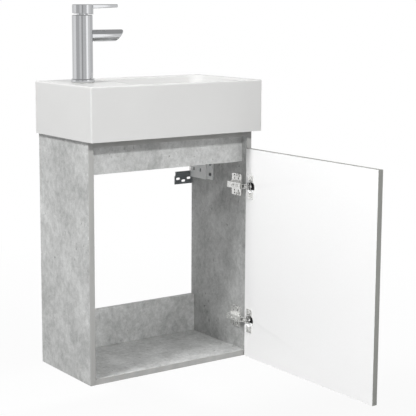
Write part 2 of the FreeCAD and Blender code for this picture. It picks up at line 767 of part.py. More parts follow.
door_cutters = []
panel_cutters = []
door_blank = box("door_blank", (door_width, S.door_thickness, door_height),
                 (half_width - S.door_reveal - door_width, door_inner_y - S.door_thickness, carcass_bottom))
for level, height in hinge_heights.items():
    z = float(height)
    node(f"{level}_long_link", solid(f"{level}_long", long_link(z), LONG_POSE))
    node(f"{level}_short_link", solid(f"{level}_short", short_link(z), SHORT_POSE))
    node(f"{level}_hinge_arm", solid(f"{level}_arm", hinge_arm(z)))
    arm_pins = [disc(long_arm_pivot, pin_r, z - cheek_out, z + cheek_out),
                disc(short_arm_pivot, pin_r, z - prong_out, z + prong_out)]
    node(f"{level}_arm_pins", solid(f"{level}_arm_pin_pair", Part.makeCompound(arm_pins)))
    cup_pins = pair(z, long_in - gap, long_pin_end, lambda low, high: disc(long_cup_pivot, pin_r, low, high))
    cup_pins.append(disc(short_cup_pivot, pin_r, z - short_pin_end, z + short_pin_end))
    pot = Part.makeCylinder(cup_inner_r, float(S.cup_depth), world((cup_mid, -door_gap), z), Vector(0, -1, 0))
    cup_pins = [pin.common(pot) for pin in cup_pins]
    node(f"{level}_cup_pins", solid(f"{level}_cup_pin_set", Part.makeCompound(cup_pins), DOOR_POSE))

    cup = hinge_cup(f"{level}_cup", height)
    cup_node = doc.addObject("Part::Compound", f"{level}_cup_posed")
    cup_node.Links = [cup]
    cup_node.Placement = DOOR_POSE
    node(f"{level}_hinge_cup", cup_node)
    door_cutters.append(rod(f"{level}_cup_bore", S.cup_radius, S.cup_depth,
                            (cup_x, door_inner_y - S.cup_depth, height), "+y"))
    cup_screws = []
    for sign in (-1, 1):
        tag = f"{level}_cup_screw"
        seat = (cup_x, door_inner_y + S.flange_thickness, height + sign * S.cup_screw_spacing / 2)
        shank_length = S.screw_length - S.flange_thickness
        head = rod(f"{tag}_head", S.screw_head_radius, S.screw_head_height, seat, "+y")
        shank = rod(f"{tag}_shank", S.screw_radius, shank_length, seat, "-y")
        cup_screws.append(fuse(tag, [head, shank]))
        door_cutters.append(rod(f"{tag}_hole", S.screw_radius, shank_length, seat, "-y"))
    screws = group(f"{level}_cup_screw_pair", cup_screws)
    screws.Placement = DOOR_POSE
    node(f"{level}_cup_screws", screws)

    # mounting plate on the side panel, with a boss that the arm sits on
    tag = f"{level}_plate"
    plate_at = (inner_face - S.plate_thickness, front + S.plate_front, height - S.plate_height / 2)
    sheet_blank = box(f"{tag}_blank", (S.plate_thickness, S.plate_width, S.plate_height), plate_at)
    soft_sheet = rounded(f"{tag}_soft", sheet_blank, S.plate_corner_radius,
                         lambda edge: abs(edge.Vertexes[0].X - edge.Vertexes[-1].X) > 0.5)
    boss_at = (inner_face - S.plate_boss_height, front + S.plate_front, height - S.plate_boss_width / 2)
    boss = box(f"{tag}_boss", (S.plate_boss_height, S.plate_width, S.plate_boss_width), boss_at)
    holes = []
    plate_screws = []
    plate_mid_y = front + S.plate_front + S.plate_width / 2
    for sign in (-1, 1):
        seat = (inner_face - S.plate_thickness, plate_mid_y - S.plate_column, height + sign * S.plate_far_row)
        head_seat = (seat[0] - S.screw_head_height, seat[1], seat[2])
        head = rod(f"{tag}_screw_head", S.screw_head_radius, S.screw_head_height, head_seat, "+x")
        shank = rod(f"{tag}_screw_shank", S.screw_radius, S.screw_length, seat, "+x")
        plate_screws.append(fuse(f"{tag}_screw", [head, shank]))
        panel_cutters.append(rod(f"{tag}_panel_hole", S.screw_radius, S.screw_length, seat, "+x"))
        for column in (-1, 1):
            for row in (S.plate_near_row, S.plate_far_row):
                at = (seat[0], plate_mid_y + column * S.plate_column, height + sign * row)
                holes.append(rod(f"{tag}_hole", S.screw_radius, S.plate_thickness, at, "+x"))
        notch_low = height + sign * S.plate_height / 2 - (S.plate_notch_depth if sign == 1 else 0)
        notch_at = (seat[0], plate_mid_y - S.plate_notch_width / 2, notch_low)
        notch_size = (S.plate_thickness, S.plate_notch_width, S.plate_notch_depth)
        holes.append(box(f"{tag}_notch", notch_size, notch_at))
    node(f"{level}_hinge_plate", cut(f"{tag}_bored", fuse(f"{tag}_body", [soft_sheet, boss]), holes))
    node(f"{level}_plate_screws", group(f"{tag}_screw_pair", plate_screws))

    # the two adjusting screws in the arm's top
    adjusters = []
    full_depth = arm_foot - arm_top
    for v, depth in zip(adjuster_places, (full_depth / 2, full_depth)):
        start = world((arm_top, v), z)
        head_start = start - Vector(float(S.screw_head_height), 0, 0)
        head = Part.makeCylinder(float(S.adjuster_radius), float(S.screw_head_height), head_start,
                                 Vector(1, 0, 0))
        shank = Part.makeCylinder(float(S.screw_radius), depth, start, Vector(1, 0, 0))
        adjusters.append(head.fuse(shank))
    node(f"{level}_arm_screws", solid(f"{level}_adjusters", Part.makeCompound(adjusters)))

doc.recompute()
door_cut = cut("door_bored", door_blank, door_cutters)
door_soft = rounded("door_soft", door_cut, S.door_edge_radius,
                    lambda edge: abs(edge.BoundBox.YMin - float(door_inner_y - S.door_thickness)) < 1e-6
                    and abs(edge.BoundBox.YMax - float(door_inner_y - S.door_thickness)) < 1e-6)
door_posed = doc.addObject("Part::Compound", "door_posed")
door_posed.Links = [door_soft]
door_posed.Placement = DOOR_POSE
node("door_panel", door_posed)

# Cabinet hangers: housing on each side panel, a hook, and a wall plate with slots

for side_name, side in SIDES.items():
    def across(distance, thickness):
        """Low x of something that starts a distance in from the side panel's inner face."""
        if side == 1:
            return inner_face - distance - thickness
        return -inner_face + distance

    tag = f"{side_name}_hanger"
    low_z = S.hanger_above_slots
    front_y = -S.hanger_wall_gap - S.hanger_depth
    shell_at = (across(0, S.hanger_thickness), front_y, low_z)
    shell = box(f"{tag}_shell", (S.hanger_thickness, S.hanger_depth, S.hanger_height), shell_at)
    soft = rounded(f"{tag}_soft", shell, S.hanger_wall,
                   lambda edge: abs(edge.Vertexes[0].X - edge.Vertexes[-1].X) > 0.5
                   and edge.CenterOfMass.y < float(front_y) + 1)
    room_thickness = S.hanger_thickness - 2 * S.hanger_wall
    room_at = (across(S.hanger_wall, room_thickness), front_y + S.hanger_depth / 3, low_z + S.hanger_wall)
    room_size = (room_thickness, S.hanger_depth * 2 / 3, S.hanger_height - 2 * S.hanger_wall)
    room = box(f"{tag}_room", room_size, room_at)
    # a low flange at the front takes the screws, and two windows show the hook inside
    step_thickness = S.hanger_thickness - S.hanger_flange_sheet
    openings = [room, box(f"{tag}_flange_step", (step_thickness, S.hanger_flange_depth, S.hanger_height),
                          (across(S.hanger_flange_sheet, step_thickness), front_y, low_z))]
    for fraction in (1, 3):
        window_at = (across(S.hanger_thickness - S.hanger_wall, S.hanger_wall),
                     front_y + S.hanger_depth / 3 + S.hanger_depth / 6 * fraction - S.hanger_window / 2,
                     low_z + S.hanger_height * 0.4 - S.hanger_window / 2)
        window_size = (S.hanger_wall, S.hanger_window, S.hanger_window)
        openings.append(box(f"{tag}_window", window_size, window_at))
    screw_y = front_y + S.hanger_flange_depth / 2
    fixing = []
    screw_holes = []
    for fraction in (1, 3):
        spot_z = low_z + S.hanger_height * fraction / 4
        seat = (side * (inner_face - S.hanger_flange_sheet), screw_y, spot_z)
        head_at = (side * (inner_face - S.hanger_flange_sheet - S.screw_head_height), screw_y, spot_z)
        length = S.hanger_flange_sheet + S.screw_length - S.screw_head_height
        way = outward(side)
        head = rod(f"{tag}_screw_head", S.screw_head_radius, S.screw_head_height, head_at, way)
        shank = rod(f"{tag}_screw_shank", S.screw_radius, length, seat, way)
        fixing.append(fuse(f"{tag}_screw", [head, shank]))
        screw_holes.append(rod(f"{tag}_hole", S.screw_radius, length, seat, way))
        side_holes[side_name].append(rod(f"{tag}_panel_hole", S.screw_radius, length, seat, way))
    node(f"{side_name}_hanger_housing", cut(f"{tag}_housing", soft, openings + screw_holes))
    node(f"{side_name}_hanger_screws", group(f"{tag}_screw_pair", fixing))

    # hook: a steel sheet in the housing, with a lip that drops behind the wall plate's upper edge
    lip_top = S.wall_plate_above
    plate_back = -S.wall_plate_joggle
    plate_front = -S.wall_plate_joggle - S.wall_plate_sheet
    hook_front = front_y + S.hanger_depth / 3
    hook_top = low_z + S.hanger_height - S.hanger_wall
    hook_bottom = low_z + S.hanger_wall
    hook_profile = [
        (hook_front, hook_bottom),
        (plate_front - S.hook_clearance, hook_bottom),
        (plate_front - S.hook_clearance, lip_top),
        (plate_back + S.hook_clearance, lip_top),
        (plate_back + S.hook_clearance, lip_top - S.hook_lip),
        (-S.hook_clearance, lip_top - S.hook_lip),
        (-S.hook_clearance, lip_top + S.hook_lip),
        (-S.hanger_wall_gap, hook_top),
        (hook_front, hook_top),
    ]
    hook_x = across((S.hanger_thickness - S.hook_sheet) / 2, S.hook_sheet)
    node(f"{side_name}_hanger_hook",
         plate(f"{tag}_hook", "YZ_Plane", hook_profile, S.hook_sheet, (hook_x, 0, 0)))

    # wall plate: a flat foot with three slots, stepped out at the top for the hook
    foot_top = S.slot_width
    step_top = S.slot_width + S.wall_plate_joggle
    plate_profile = [
        (-S.wall_plate_sheet, -S.wall_plate_below),
        (0, -S.wall_plate_below),
        (0, foot_top),
        (plate_back, step_top),
        (plate_back, lip_top),
        (plate_front, lip_top),
        (plate_front, step_top - S.wall_plate_sheet / 2),
        (-S.wall_plate_sheet, foot_top - S.wall_plate_sheet / 2),
    ]
    plate_x = across(S.wall_plate_side_gap, S.wall_plate_length)
    pressing = plate(f"{tag}_pressing", "YZ_Plane", plate_profile, S.wall_plate_length, (plate_x, 0, 0))
    plate_mid_x = plate_x + S.wall_plate_length / 2
    slot_spots = [(-S.slot_spacing / 2, 0), (S.slot_spacing / 2, 0), (0, -S.middle_slot_drop)]
    slots = []
    straight = S.slot_length - S.slot_width
    for dx, dz in slot_spots:
        for end in (-1, 1):
            end_at = (plate_mid_x + dx + end * straight / 2, -S.wall_plate_sheet, dz)
            slots.append(rod(f"{tag}_slot_end", S.slot_width / 2, S.wall_plate_sheet, end_at, "+y"))
        mid_at = (plate_mid_x + dx - straight / 2, -S.wall_plate_sheet, dz - S.slot_width / 2)
        slots.append(box(f"{tag}_slot_mid", (straight, S.wall_plate_sheet, S.slot_width), mid_at))
    node(f"{side_name}_wall_plate", cut(f"{tag}_wall_plate", pressing, slots))

# Side panels, bored for every fitting that goes into them

for side_name, side in SIDES.items():
    low_x = inner_face if side == 1 else -half_width
    panel = box(f"{side_name}_panel_blank", (S.board, S.carcass_depth, S.carcass_height),
                (low_x, front, carcass_bottom))
    holes = side_holes[side_name] + (panel_cutters if side == 1 else [])
    node(f"{side_name}_side_panel", cut(f"{side_name}_panel_bored", panel, holes))

# Basin: an outer box with soft edges, hollow below, with a tapered bowl and a tap deck

basin_top = carcass_top + S.basin_height
basin_left = -S.basin_width / 2
basin_block = box("basin_block", (S.basin_width, S.basin_depth, S.basin_height),
                  (basin_left, -S.basin_depth, carcass_top))
basin_soft = rounded("basin_soft", basin_block, S.basin_edge_radius,
                     lambda edge: edge.CenterOfMass.z > float(carcass_top) + 1)
hollow_size = (S.basin_width - 2 * S.basin_wall, S.basin_depth - 2 * S.basin_wall,
               S.basin_height - S.deck_thickness)
basin_hollow = box("basin_hollow", hollow_size,
                   (basin_left + S.basin_wall, -S.basin_depth + S.basin_wall, carcass_top))
basin_shell = cut("basin_shell", basin_soft, [basin_hollow])

bowl_left = basin_left + S.deck_width
bowl_right = -basin_left - S.rim_width
bowl_front = -S.basin_depth + S.rim_width
bowl_back = -S.rim_width
bowl_floor = basin_top - S.bowl_depth
bowl_x = (bowl_left + bowl_right) / 2
bowl_y = -S.basin_depth / 2


def tapered(name, grow, floor, top):
    """A box that narrows downwards, its long side walls leaning in."""
    wedge = doc.addObject("Part::Wedge", name)
    bind(wedge, "Ymin", 0)
    bind(wedge, "Ymax", top - floor)
    bind(wedge, "Xmin", bowl_left + S.bowl_inset - grow)
    bind(wedge, "Xmax", bowl_right - S.bowl_inset + grow)
    bind(wedge, "X2min", bowl_left - grow)
    bind(wedge, "X2max", bowl_right + grow)
    bind(wedge, "Zmin", -bowl_back + S.bowl_inset - grow)
    bind(wedge, "Zmax", -bowl_front - S.bowl_inset + grow)
    bind(wedge, "Z2min", -bowl_back - grow)
    bind(wedge, "Z2max", -bowl_front + grow)
    return place(wedge, (0, 0, floor), Rotation(Vector(1, 0, 0), 90))


bowl_void = tapered("bowl_void", 0, bowl_floor, basin_top)
bowl_void_soft = rounded("bowl_void_soft", bowl_void, S.bowl_corner_radius, vertical)
bowl_void_round = rounded("bowl_void_round", bowl_void_soft, S.bowl_floor_radius,
                          lambda edge: edge.BoundBox.ZMax < float(bowl_floor) + 1e-3)
bowl_outside = tapered("bowl_outside", S.basin_wall / 2, bowl_floor - S.basin_wall,
                       basin_top - S.basin_wall)
bowl_outside_soft = rounded("bowl_outside_soft", bowl_outside, S.bowl_corner_radius, vertical)
basin_body = fuse("basin_body", [basin_shell, bowl_outside_soft])
tap_x = basin_left + S.tap_inset
tap_y = S.tap_front_distance - S.basin_depth
basin_tools = [
    bowl_void_round,
    rod("tap_hole", S.tap_hole_radius, S.deck_thickness, (tap_x, tap_y, basin_top - S.deck_thickness)),
    rod("waste_hole", S.waste_hole_radius, S.basin_wall, (bowl_x, bowl_y, bowl_floor - S.basin_wall)),
    rod("waste_recess", S.waste_recess_radius, S.waste_recess_depth,
        (bowl_x, bowl_y, bowl_floor - S.waste_recess_depth)),
]
basin_cut = cut("basin_cut", basin_body, basin_tools)


def bowl_mouth(edge):
    box_of = edge.BoundBox
    level = box_of.ZMin > float(basin_top) - 1e-3
    inside = box_of.XMin > float(bowl_left) - 1 and box_of.XMax < float(bowl_right) + 1
    return level and inside


node("basin", rounded("basin_finished", basin_cut, S.bowl_lip_radius, bowl_mouth))

# Basin waste: flanged body, push plug, washer and back nut

flange_under = bowl_floor - S.waste_recess_depth
flange_top = flange_under + S.waste_flange_thickness
thread_bottom = flange_under - S.waste_thread_length
tail_bottom = thread_bottom - S.waste_tail_length
bore_r = S.waste_tail_radius - S.waste_wall
guide_r = S.plug_stem_radius + S.plug_guide_clearance
guide_top = flange_under - S.plug_lift
guide_bottom = guide_top - S.plug_stem_length / 2
waste_at = (bowl_x, bowl_y, 0)
waste_shell = turned("waste_shell", [
    (bore_r, tail_bottom),
    (S.waste_tail_radius, tail_bottom),
    (S.waste_tail_radius, thread_bottom),
    (S.waste_thread_radius, thread_bottom),
    (S.waste_thread_radius, flange_under),
    (S.waste_flange_radius, flange_under),
    (S.waste_flange_radius, flange_top),
    (bore_r, flange_top),
], waste_at)
guide = turned("waste_guide", [
    (guide_r, guide_bottom),
    (guide_r + S.waste_wall, guide_bottom),
    (guide_r + S.waste_wall, guide_top),
    (guide_r, guide_top),
], waste_at)
spokes = []
spoke_size = (bore_r - guide_r, S.waste_wall, S.plug_stem_length / 4)
spoke_start = guide_r + S.waste_wall / 2
for degrees in (0, 120, 240):
    c, s = math.cos(math.radians(degrees)), math.sin(math.radians(degrees))
    spoke_at = (bowl_x + spoke_start * c + S.waste_wall / 2 * s,
                bowl_y + spoke_start * s - S.waste_wall / 2 * c, guide_bottom)
    spoke = box("waste_spoke", spoke_size, spoke_at)
    spoke.Placement.Rotation = Rotation(Vector(0, 0, 1), degrees)
    spokes.append(spoke)
node("waste_body", fuse("waste_body_whole", [waste_shell, guide, *spokes]))

plug_under = flange_top + S.plug_seat_gap
stem_bottom = plug_under - S.plug_stem_length
node("waste_plug", turned("waste_plug_turned", [
    (0, stem_bottom),
    (S.plug_stem_radius, stem_bottom),
    (S.plug_stem_radius, plug_under),
    (S.plug_radius - S.waste_wall, plug_under),
    (S.plug_radius, plug_under + S.waste_wall),
    (S.plug_radius, plug_under + S.plug_thickness - S.waste_wall),
    (S.plug_radius - S.waste_wall, plug_under + S.plug_thickness),
    (0, plug_under + S.plug_thickness),
], waste_at))
floor_under = bowl_floor - S.basin_wall
node("waste_washer", turned("waste_washer_turned", [
    (S.waste_thread_radius, floor_under - S.waste_washer_thickness),
    (S.waste_washer_radius, floor_under - S.waste_washer_thickness),
    (S.waste_washer_radius, floor_under),
    (S.waste_thread_radius, floor_under),
], waste_at))
nut_bottom = floor_under - S.waste_washer_thickness - S.waste_nut_thickness
waste_nut_at = (bowl_x, bowl_y, nut_bottom)
waste_nut_blank = hexagon("waste_nut_blank", S.waste_nut_width, S.waste_nut_thickness, waste_nut_at)
waste_nut_hole = rod("waste_nut_hole", S.waste_thread_radius, S.waste_nut_thickness, waste_nut_at)
node("waste_nut", cut("waste_nut_bored", waste_nut_blank, [waste_nut_hole]))

# Tap: base ring, body with spout, cartridge, lever cap, and the clamp under the deck

deck = basin_top
ring_bottom = deck + S.gasket_thickness
ring_top = ring_bottom + S.ring_height
body_top = deck + S.tap_body_top
spout_z = deck + S.spout_height
tap_at = (tap_x, tap_y, 0)
node("tap_gasket", turned("tap_gasket_turned", [
    (S.tap_hole_radius - S.ring_shoulder, deck),
    (S.gasket_radius, deck),
    (S.gasket_radius, ring_bottom),
    (S.tap_hole_radius - S.ring_shoulder, ring_bottom),
], tap_at))
node("tap_base_ring", turned("tap_base_ring_turned", [
    (S.tap_hole_radius - S.ring_shoulder, ring_bottom),
    (S.ring_radius, ring_bottom),
    (S.ring_radius, ring_top - S.ring_shoulder),
    (S.ring_radius - S.ring_shoulder, ring_top),
    (S.tap_hole_radius - S.ring_shoulder, ring_top),
], tap_at))

cartridge_top = body_top - S.cartridge_nut_height
cartridge_bottom = cartridge_top - S.cartridge_height
column_blank = rod("tap_column_blank", S.tap_radius, body_top - ring_top, (tap_x, tap_y, ring_top))
column = rounded("tap_column", column_blank, S.tap_shoulder,
                 lambda edge: edge.BoundBox.ZMin > float(body_top) - 1e-3)
spout_blank = rod("tap_spout_blank", S.spout_radius, S.spout_reach, (tap_x, tap_y, spout_z), "+x")
tip_x = tap_x + S.spout_reach
tip_cut = box("spout_tip_cut", (4 * S.spout_radius, 4 * S.spout_radius, 4 * S.spout_radius),
              (tip_x, tap_y - 2 * S.spout_radius, spout_z + S.spout_radius))
tip_cut.Placement.Rotation = Rotation(Vector(0, 1, 0), float(S.spout_tip_angle))
bind(tip_cut, "Placement.Rotation.Angle", S.spout_tip_angle)
spout = rounded("tap_spout", cut("tap_spout_cut", spout_blank, [tip_cut]), S.spout_tip_radius,
                lambda edge: edge.BoundBox.XMin > float(tap_x) + 1 and edge.BoundBox.ZLength > 1)
tap_blank = fuse("tap_blank", [column, spout])
tip_angle = math.radians(float(S.spout_tip_angle))
tip_back = float(S.spout_radius) * math.tan(tip_angle)
tip_mid = Vector(float(tip_x) - tip_back, float(tap_y), float(spout_z))
tip_axis = Vector(math.cos(tip_angle), 0, -math.sin(tip_angle))
aerator_hole = doc.addObject("Part::Cylinder", "aerator_hole")
bind(aerator_hole, "Radius", S.spout_bore_radius)
bind(aerator_hole, "Height", S.aerator_length)
tip_turn = Rotation(Vector(0, 0, 1), -tip_axis)
aerator_hole.Placement = Placement(tip_mid, tip_turn)
spout_run = S.spout_reach - 2 * S.spout_radius
tap_bores = [
    rod("cartridge_seat", S.cartridge_radius, body_top - cartridge_bottom, (tap_x, tap_y, cartridge_bottom)),
    rod("spout_bore", S.waterway_radius, spout_run, (tap_x, tap_y, spout_z), "+x"),
    rod("riser", S.riser_radius, cartridge_bottom - spout_z, (tap_x, tap_y, spout_z)),
    rod("stud_thread", S.stud_radius, S.inlet_depth / 2, (tap_x - S.stud_offset, tap_y, ring_top)),
    aerator_hole,
]
for sign in (-1, 1):
    inlet_at = (tap_x + S.inlet_offset / 2, tap_y + sign * S.inlet_offset, ring_top)
    tap_bores.append(rod("inlet", S.inlet_radius, S.inlet_depth, inlet_at))
node("tap_body", cut("tap_body_bored", tap_blank, tap_bores))

aerator = doc.addObject("Part::Cylinder", "aerator_blank")
bind(aerator, "Radius", S.spout_bore_radius - S.aerator_clearance)
bind(aerator, "Height", S.aerator_length)
aerator.Placement = Placement(tip_mid, tip_turn)
aerator_bore = doc.addObject("Part::Cylinder", "aerator_bore")
bind(aerator_bore, "Radius", S.waterway_radius)
bind(aerator_bore, "Height", S.aerator_length / 3)
aerator_bore.Placement = Placement(tip_mid, tip_turn)
node("aerator", cut("aerator_bored", aerator, [aerator_bore]))

node("cartridge", turned("cartridge_turned", [
    (0, cartridge_bottom),
    (S.cartridge_radius, cartridge_bottom),
    (S.cartridge_radius, cartridge_top),
    (0, cartridge_top),
], tap_at))
carrier_hole = S.carrier_radius + S.carrier_clearance
node("cartridge_nut", turned("cartridge_nut_turned", [
    (carrier_hole, cartridge_top),
    (S.cartridge_radius, cartridge_top),
    (S.cartridge_radius, body_top),
    (S.cartridge_boss_radius, body_top),
    (S.cartridge_boss_radius, body_top + S.cartridge_boss_height),
    (carrier_hole, body_top + S.cartridge_boss_height),
], tap_at))

# lever carrier: the spindle that turns in the cartridge nut, with an ear for the lever's pivot pin
boss_top = body_top + S.cartridge_boss_height
pin_z = body_top + S.lever_pin_height
pin_x = tap_x - S.lever_pin_setback
spindle = rod("carrier_spindle", S.carrier_radius, boss_top + S.carrier_height / 2 - cartridge_top,
              (tap_x, tap_y, cartridge_top))
ear_y = tap_y - S.carrier_ear_width / 2
bridge_z = boss_top + S.lever_pin_radius / 4
bridge_size = (S.lever_pin_setback + S.carrier_radius / 2, S.carrier_ear_width, S.carrier_height / 3)
bridge = box("carrier_bridge", bridge_size, (pin_x, ear_y, bridge_z))
ear = rod("carrier_ear", S.carrier_ear_radius, S.carrier_ear_width, (pin_x, ear_y, pin_z), "+y")
post_size = (S.carrier_ear_radius, S.carrier_ear_width, pin_z - bridge_z)
post = box("carrier_post", post_size, (pin_x, ear_y, bridge_z))
pin_hole = rod("carrier_pin_hole", S.lever_pin_radius + S.carrier_clearance, S.carrier_ear_width,
               (pin_x, ear_y, pin_z), "+y")
carrier_blank = fuse("carrier_blank", [spindle, bridge, ear, post])
node("lever_carrier", cut("lever_carrier_bored", carrier_blank, [pin_hole]))

# lever cap: a hollow turned cap whose lower edge rises to the rear, so that it can tip
cap_bottom = body_top + S.cap_front_gap
cap_top = deck + S.cap_top
cap_inner_r = S.cap_radius - S.cap_wall
cap_x = tap_x + S.cap_forward
cap_blank = rod("cap_blank", S.cap_radius, cap_top - cap_bottom, (cap_x, tap_y, cap_bottom))
cap_soft = rounded("cap_soft", cap_blank, S.cap_wall / 2,
                   lambda edge: len(edge.Vertexes) == 1 and edge.BoundBox.ZMin > float(cap_top) - 1e-3)
cap_room = rod("cap_room", cap_inner_r, cap_top - S.cap_wall - cap_bottom, (cap_x, tap_y, cap_bottom))
cap_rear_x = cap_x - S.cap_radius
cap_slope = plate("cap_slope", "XZ_Plane", [
    (cap_rear_x, cap_bottom),
    (cap_x + S.cap_radius, cap_bottom),
    (cap_rear_x, body_top + S.cap_rear_gap),
], 2 * S.cap_radius, (0, tap_y + S.cap_radius, 0))
node("lever_pin", rod("lever_pin_rod", S.lever_pin_radius, 2 * cap_inner_r - S.carrier_ear_width / 2,
                      (pin_x, tap_y - cap_inner_r + S.carrier_ear_width / 4, pin_z), "+y"))
cap_pin_hole = rod("cap_pin_hole", S.lever_pin_radius, 2 * cap_inner_r - S.carrier_ear_width / 2,
                   (pin_x, tap_y - cap_inner_r + S.carrier_ear_width / 4, pin_z), "+y")
node("lever_cap", cut("lever_cap_shell", cap_soft, [cap_room, cap_slope, cap_pin_hole]))

lever_root_x = cap_x + S.cap_radius - S.cap_wall / 2
lever_tip_x = tap_x + S.lever_reach
lever_blank = plate("lever_blank", "XZ_Plane", [
    (lever_root_x, cap_top - S.lever_root_thickness),
    (lever_tip_x, cap_top - S.lever_tip_thickness),
    (lever_tip_x, cap_top),
    (lever_root_x, cap_top),
], S.lever_width, (0, tap_y + S.lever_width / 2, 0))
lever_soft = rounded("lever_soft", lever_blank, S.lever_tip_radius,
                     lambda edge: vertical(edge) and edge.CenterOfMass.x > float(tap_x + S.lever_reach) - 1)
cap_solid = rod("lever_cap_trim", S.cap_radius, cap_top - cap_bottom, (cap_x, tap_y, cap_bottom))
node("lever", cut("lever_trimmed", lever_soft, [cap_solid]))

# clamp under the deck: stud, rubber pad, steel horseshoe plate and nut
deck_under = deck - S.deck_thickness
stud_x = tap_x - S.stud_offset
stud_top = ring_top + S.inlet_depth / 2
node("tap_stud", rod("tap_stud_rod", S.stud_radius, S.stud_length, (stud_x, tap_y, stud_top - S.stud_length)))


def horseshoe(name, thickness, top):
    """A round plate with a wide slot for the inlets and a hole for the stud."""
    disc = rod(f"{name}_disc", S.clamp_washer_radius, thickness, (tap_x, tap_y, top - thickness))
    slot = box(f"{name}_slot", (2 * S.clamp_washer_radius, 4 * S.inlet_offset, thickness),
               (tap_x - S.stud_radius / 2, tap_y - 2 * S.inlet_offset, top - thickness))
    hole = rod(f"{name}_hole", S.stud_radius, thickness, (stud_x, tap_y, top - thickness))
    return cut(f"{name}_shape", disc, [slot, hole])


node("tap_clamp_pad", horseshoe("clamp_pad", S.clamp_pad_thickness, deck_under))
pad_bottom = deck_under - S.clamp_pad_thickness
node("tap_clamp_plate", horseshoe("clamp_plate", S.clamp_plate_thickness, pad_bottom))
plate_bottom = pad_bottom - S.clamp_plate_thickness
stud_nut_at = (stud_x, tap_y, plate_bottom - S.stud_nut_height)
stud_nut = hexagon("stud_nut_blank", S.stud_nut_width, S.stud_nut_height, stud_nut_at)
stud_nut_hole = rod("stud_nut_hole", S.stud_radius, S.stud_nut_height, stud_nut_at)
node("tap_stud_nut", cut("stud_nut_bored", stud_nut, [stud_nut_hole]))

doc.recompute()

# Check everything, then write one file for each piece

for thing in doc.Objects:
    if "Invalid" in thing.State or "Error" in thing.State:
        raise RuntimeError(f"{thing.Label} failed: {thing.State}")
os.makedirs("parts", exist_ok=True)
for piece in NODES:
    shape = piece.Shape
    if shape.isNull() or not shape.isValid():
        raise RuntimeError(f"{piece.Label} has no valid shape")
    shape.exportStep(f"parts/{piece.Label}.step")
    print(f"{piece.Label}: {len(shape.Solids)} solids, {shape.Volume / 1000:.2f} cm3")
print("long link turns about", world(long_arm_pivot), "and carries the cup at", world(long_cup_open))
print("short link turns about", world(short_arm_pivot), "and meets the cup at", world(short_cup_open))
print("lever tips about", float(pin_x), float(tap_y), float(pin_z))
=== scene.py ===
# %% [markdown]
# # A wall-hung vanity unit
# A small cabinet of grey boards carries a ceramic basin and a lever tap, and one door hangs on
# two concealed hinges. The engineered shapes come ready made. This lesson gives them their soft
# edges, their glaze, chrome and concrete-look boards, and the light to see them by.

# %% Load the engineered part
import bmesh
import bpy
import json
import math
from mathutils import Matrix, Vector


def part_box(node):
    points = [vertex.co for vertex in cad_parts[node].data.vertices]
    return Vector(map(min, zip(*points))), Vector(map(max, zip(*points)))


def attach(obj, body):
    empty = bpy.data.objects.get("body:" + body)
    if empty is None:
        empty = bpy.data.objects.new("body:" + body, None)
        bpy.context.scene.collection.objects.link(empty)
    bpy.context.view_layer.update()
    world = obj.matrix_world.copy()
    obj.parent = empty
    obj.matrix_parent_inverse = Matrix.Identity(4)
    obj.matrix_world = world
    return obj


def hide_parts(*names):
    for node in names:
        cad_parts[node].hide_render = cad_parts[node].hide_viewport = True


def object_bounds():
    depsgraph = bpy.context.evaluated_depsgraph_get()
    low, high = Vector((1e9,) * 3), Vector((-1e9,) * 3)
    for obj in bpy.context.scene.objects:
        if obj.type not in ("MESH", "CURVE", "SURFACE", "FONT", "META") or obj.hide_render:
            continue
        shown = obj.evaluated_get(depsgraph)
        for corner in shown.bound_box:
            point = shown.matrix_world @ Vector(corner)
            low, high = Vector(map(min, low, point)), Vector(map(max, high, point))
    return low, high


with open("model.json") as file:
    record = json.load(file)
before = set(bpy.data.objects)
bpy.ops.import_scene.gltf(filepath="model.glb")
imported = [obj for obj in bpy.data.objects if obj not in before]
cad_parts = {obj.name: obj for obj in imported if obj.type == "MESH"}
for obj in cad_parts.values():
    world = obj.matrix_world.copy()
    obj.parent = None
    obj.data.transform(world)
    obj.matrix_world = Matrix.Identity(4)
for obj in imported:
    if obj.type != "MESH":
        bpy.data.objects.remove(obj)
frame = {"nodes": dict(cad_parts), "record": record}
nodes = frame["nodes"]
cad_low, cad_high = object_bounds()
bodies = frame["record"]["behaviour"]["bodies"]
body_of_node = {node: body for body, members in bodies.items() for node in members}
scene = bpy.context.scene
scene.view_settings.view_transform = "Standard"
print(len(nodes), "engineered pieces in", len(bodies), "moving groups")

# %% [markdown]
# ## The camera
# The unit is seen from its left and a little from above. A long lens keeps the upright edges
# almost parallel. The frame is shifted, as on a view camera, so that the camera need not tip
# further down, because tipping makes upright edges converge.

# %% Camera
EYE = Vector((-1.3073, -2.1175, 0.3783))
HEADING = math.radians(33.883)
DIP = math.radians(8.691)
SENSOR_MM = 36.0
FOCAL_MM = 103.34
FRAME_SHIFT = (0.1, -0.055)

forward = math.cos(DIP)
look = Vector((math.sin(HEADING) * forward, math.cos(HEADING) * forward, -math.sin(DIP)))
lens = bpy.data.cameras.new("camera")
lens.sensor_width = SENSOR_MM
lens.lens = FOCAL_MM
lens.shift_x, lens.shift_y = FRAME_SHIFT
camera = bpy.data.objects.new("camera", lens)
camera.location = EYE
camera.rotation_euler = look.to_track_quat("-Z", "Y").to_euler()
scene.collection.objects.link(camera)
scene.camera = camera
print("camera", round((EYE - (cad_low + cad_high) / 2).length, 2), "m from the unit")

# %% [markdown]
# ## Writing shader maths as sums
# A finish is a net of nodes. Wiring each node by hand hides what the maths says, so one small
# class stands for a socket and turns +, -, *, < and > into Math nodes. One method makes every
# other node: its settings come first, because some settings change which sockets it has.

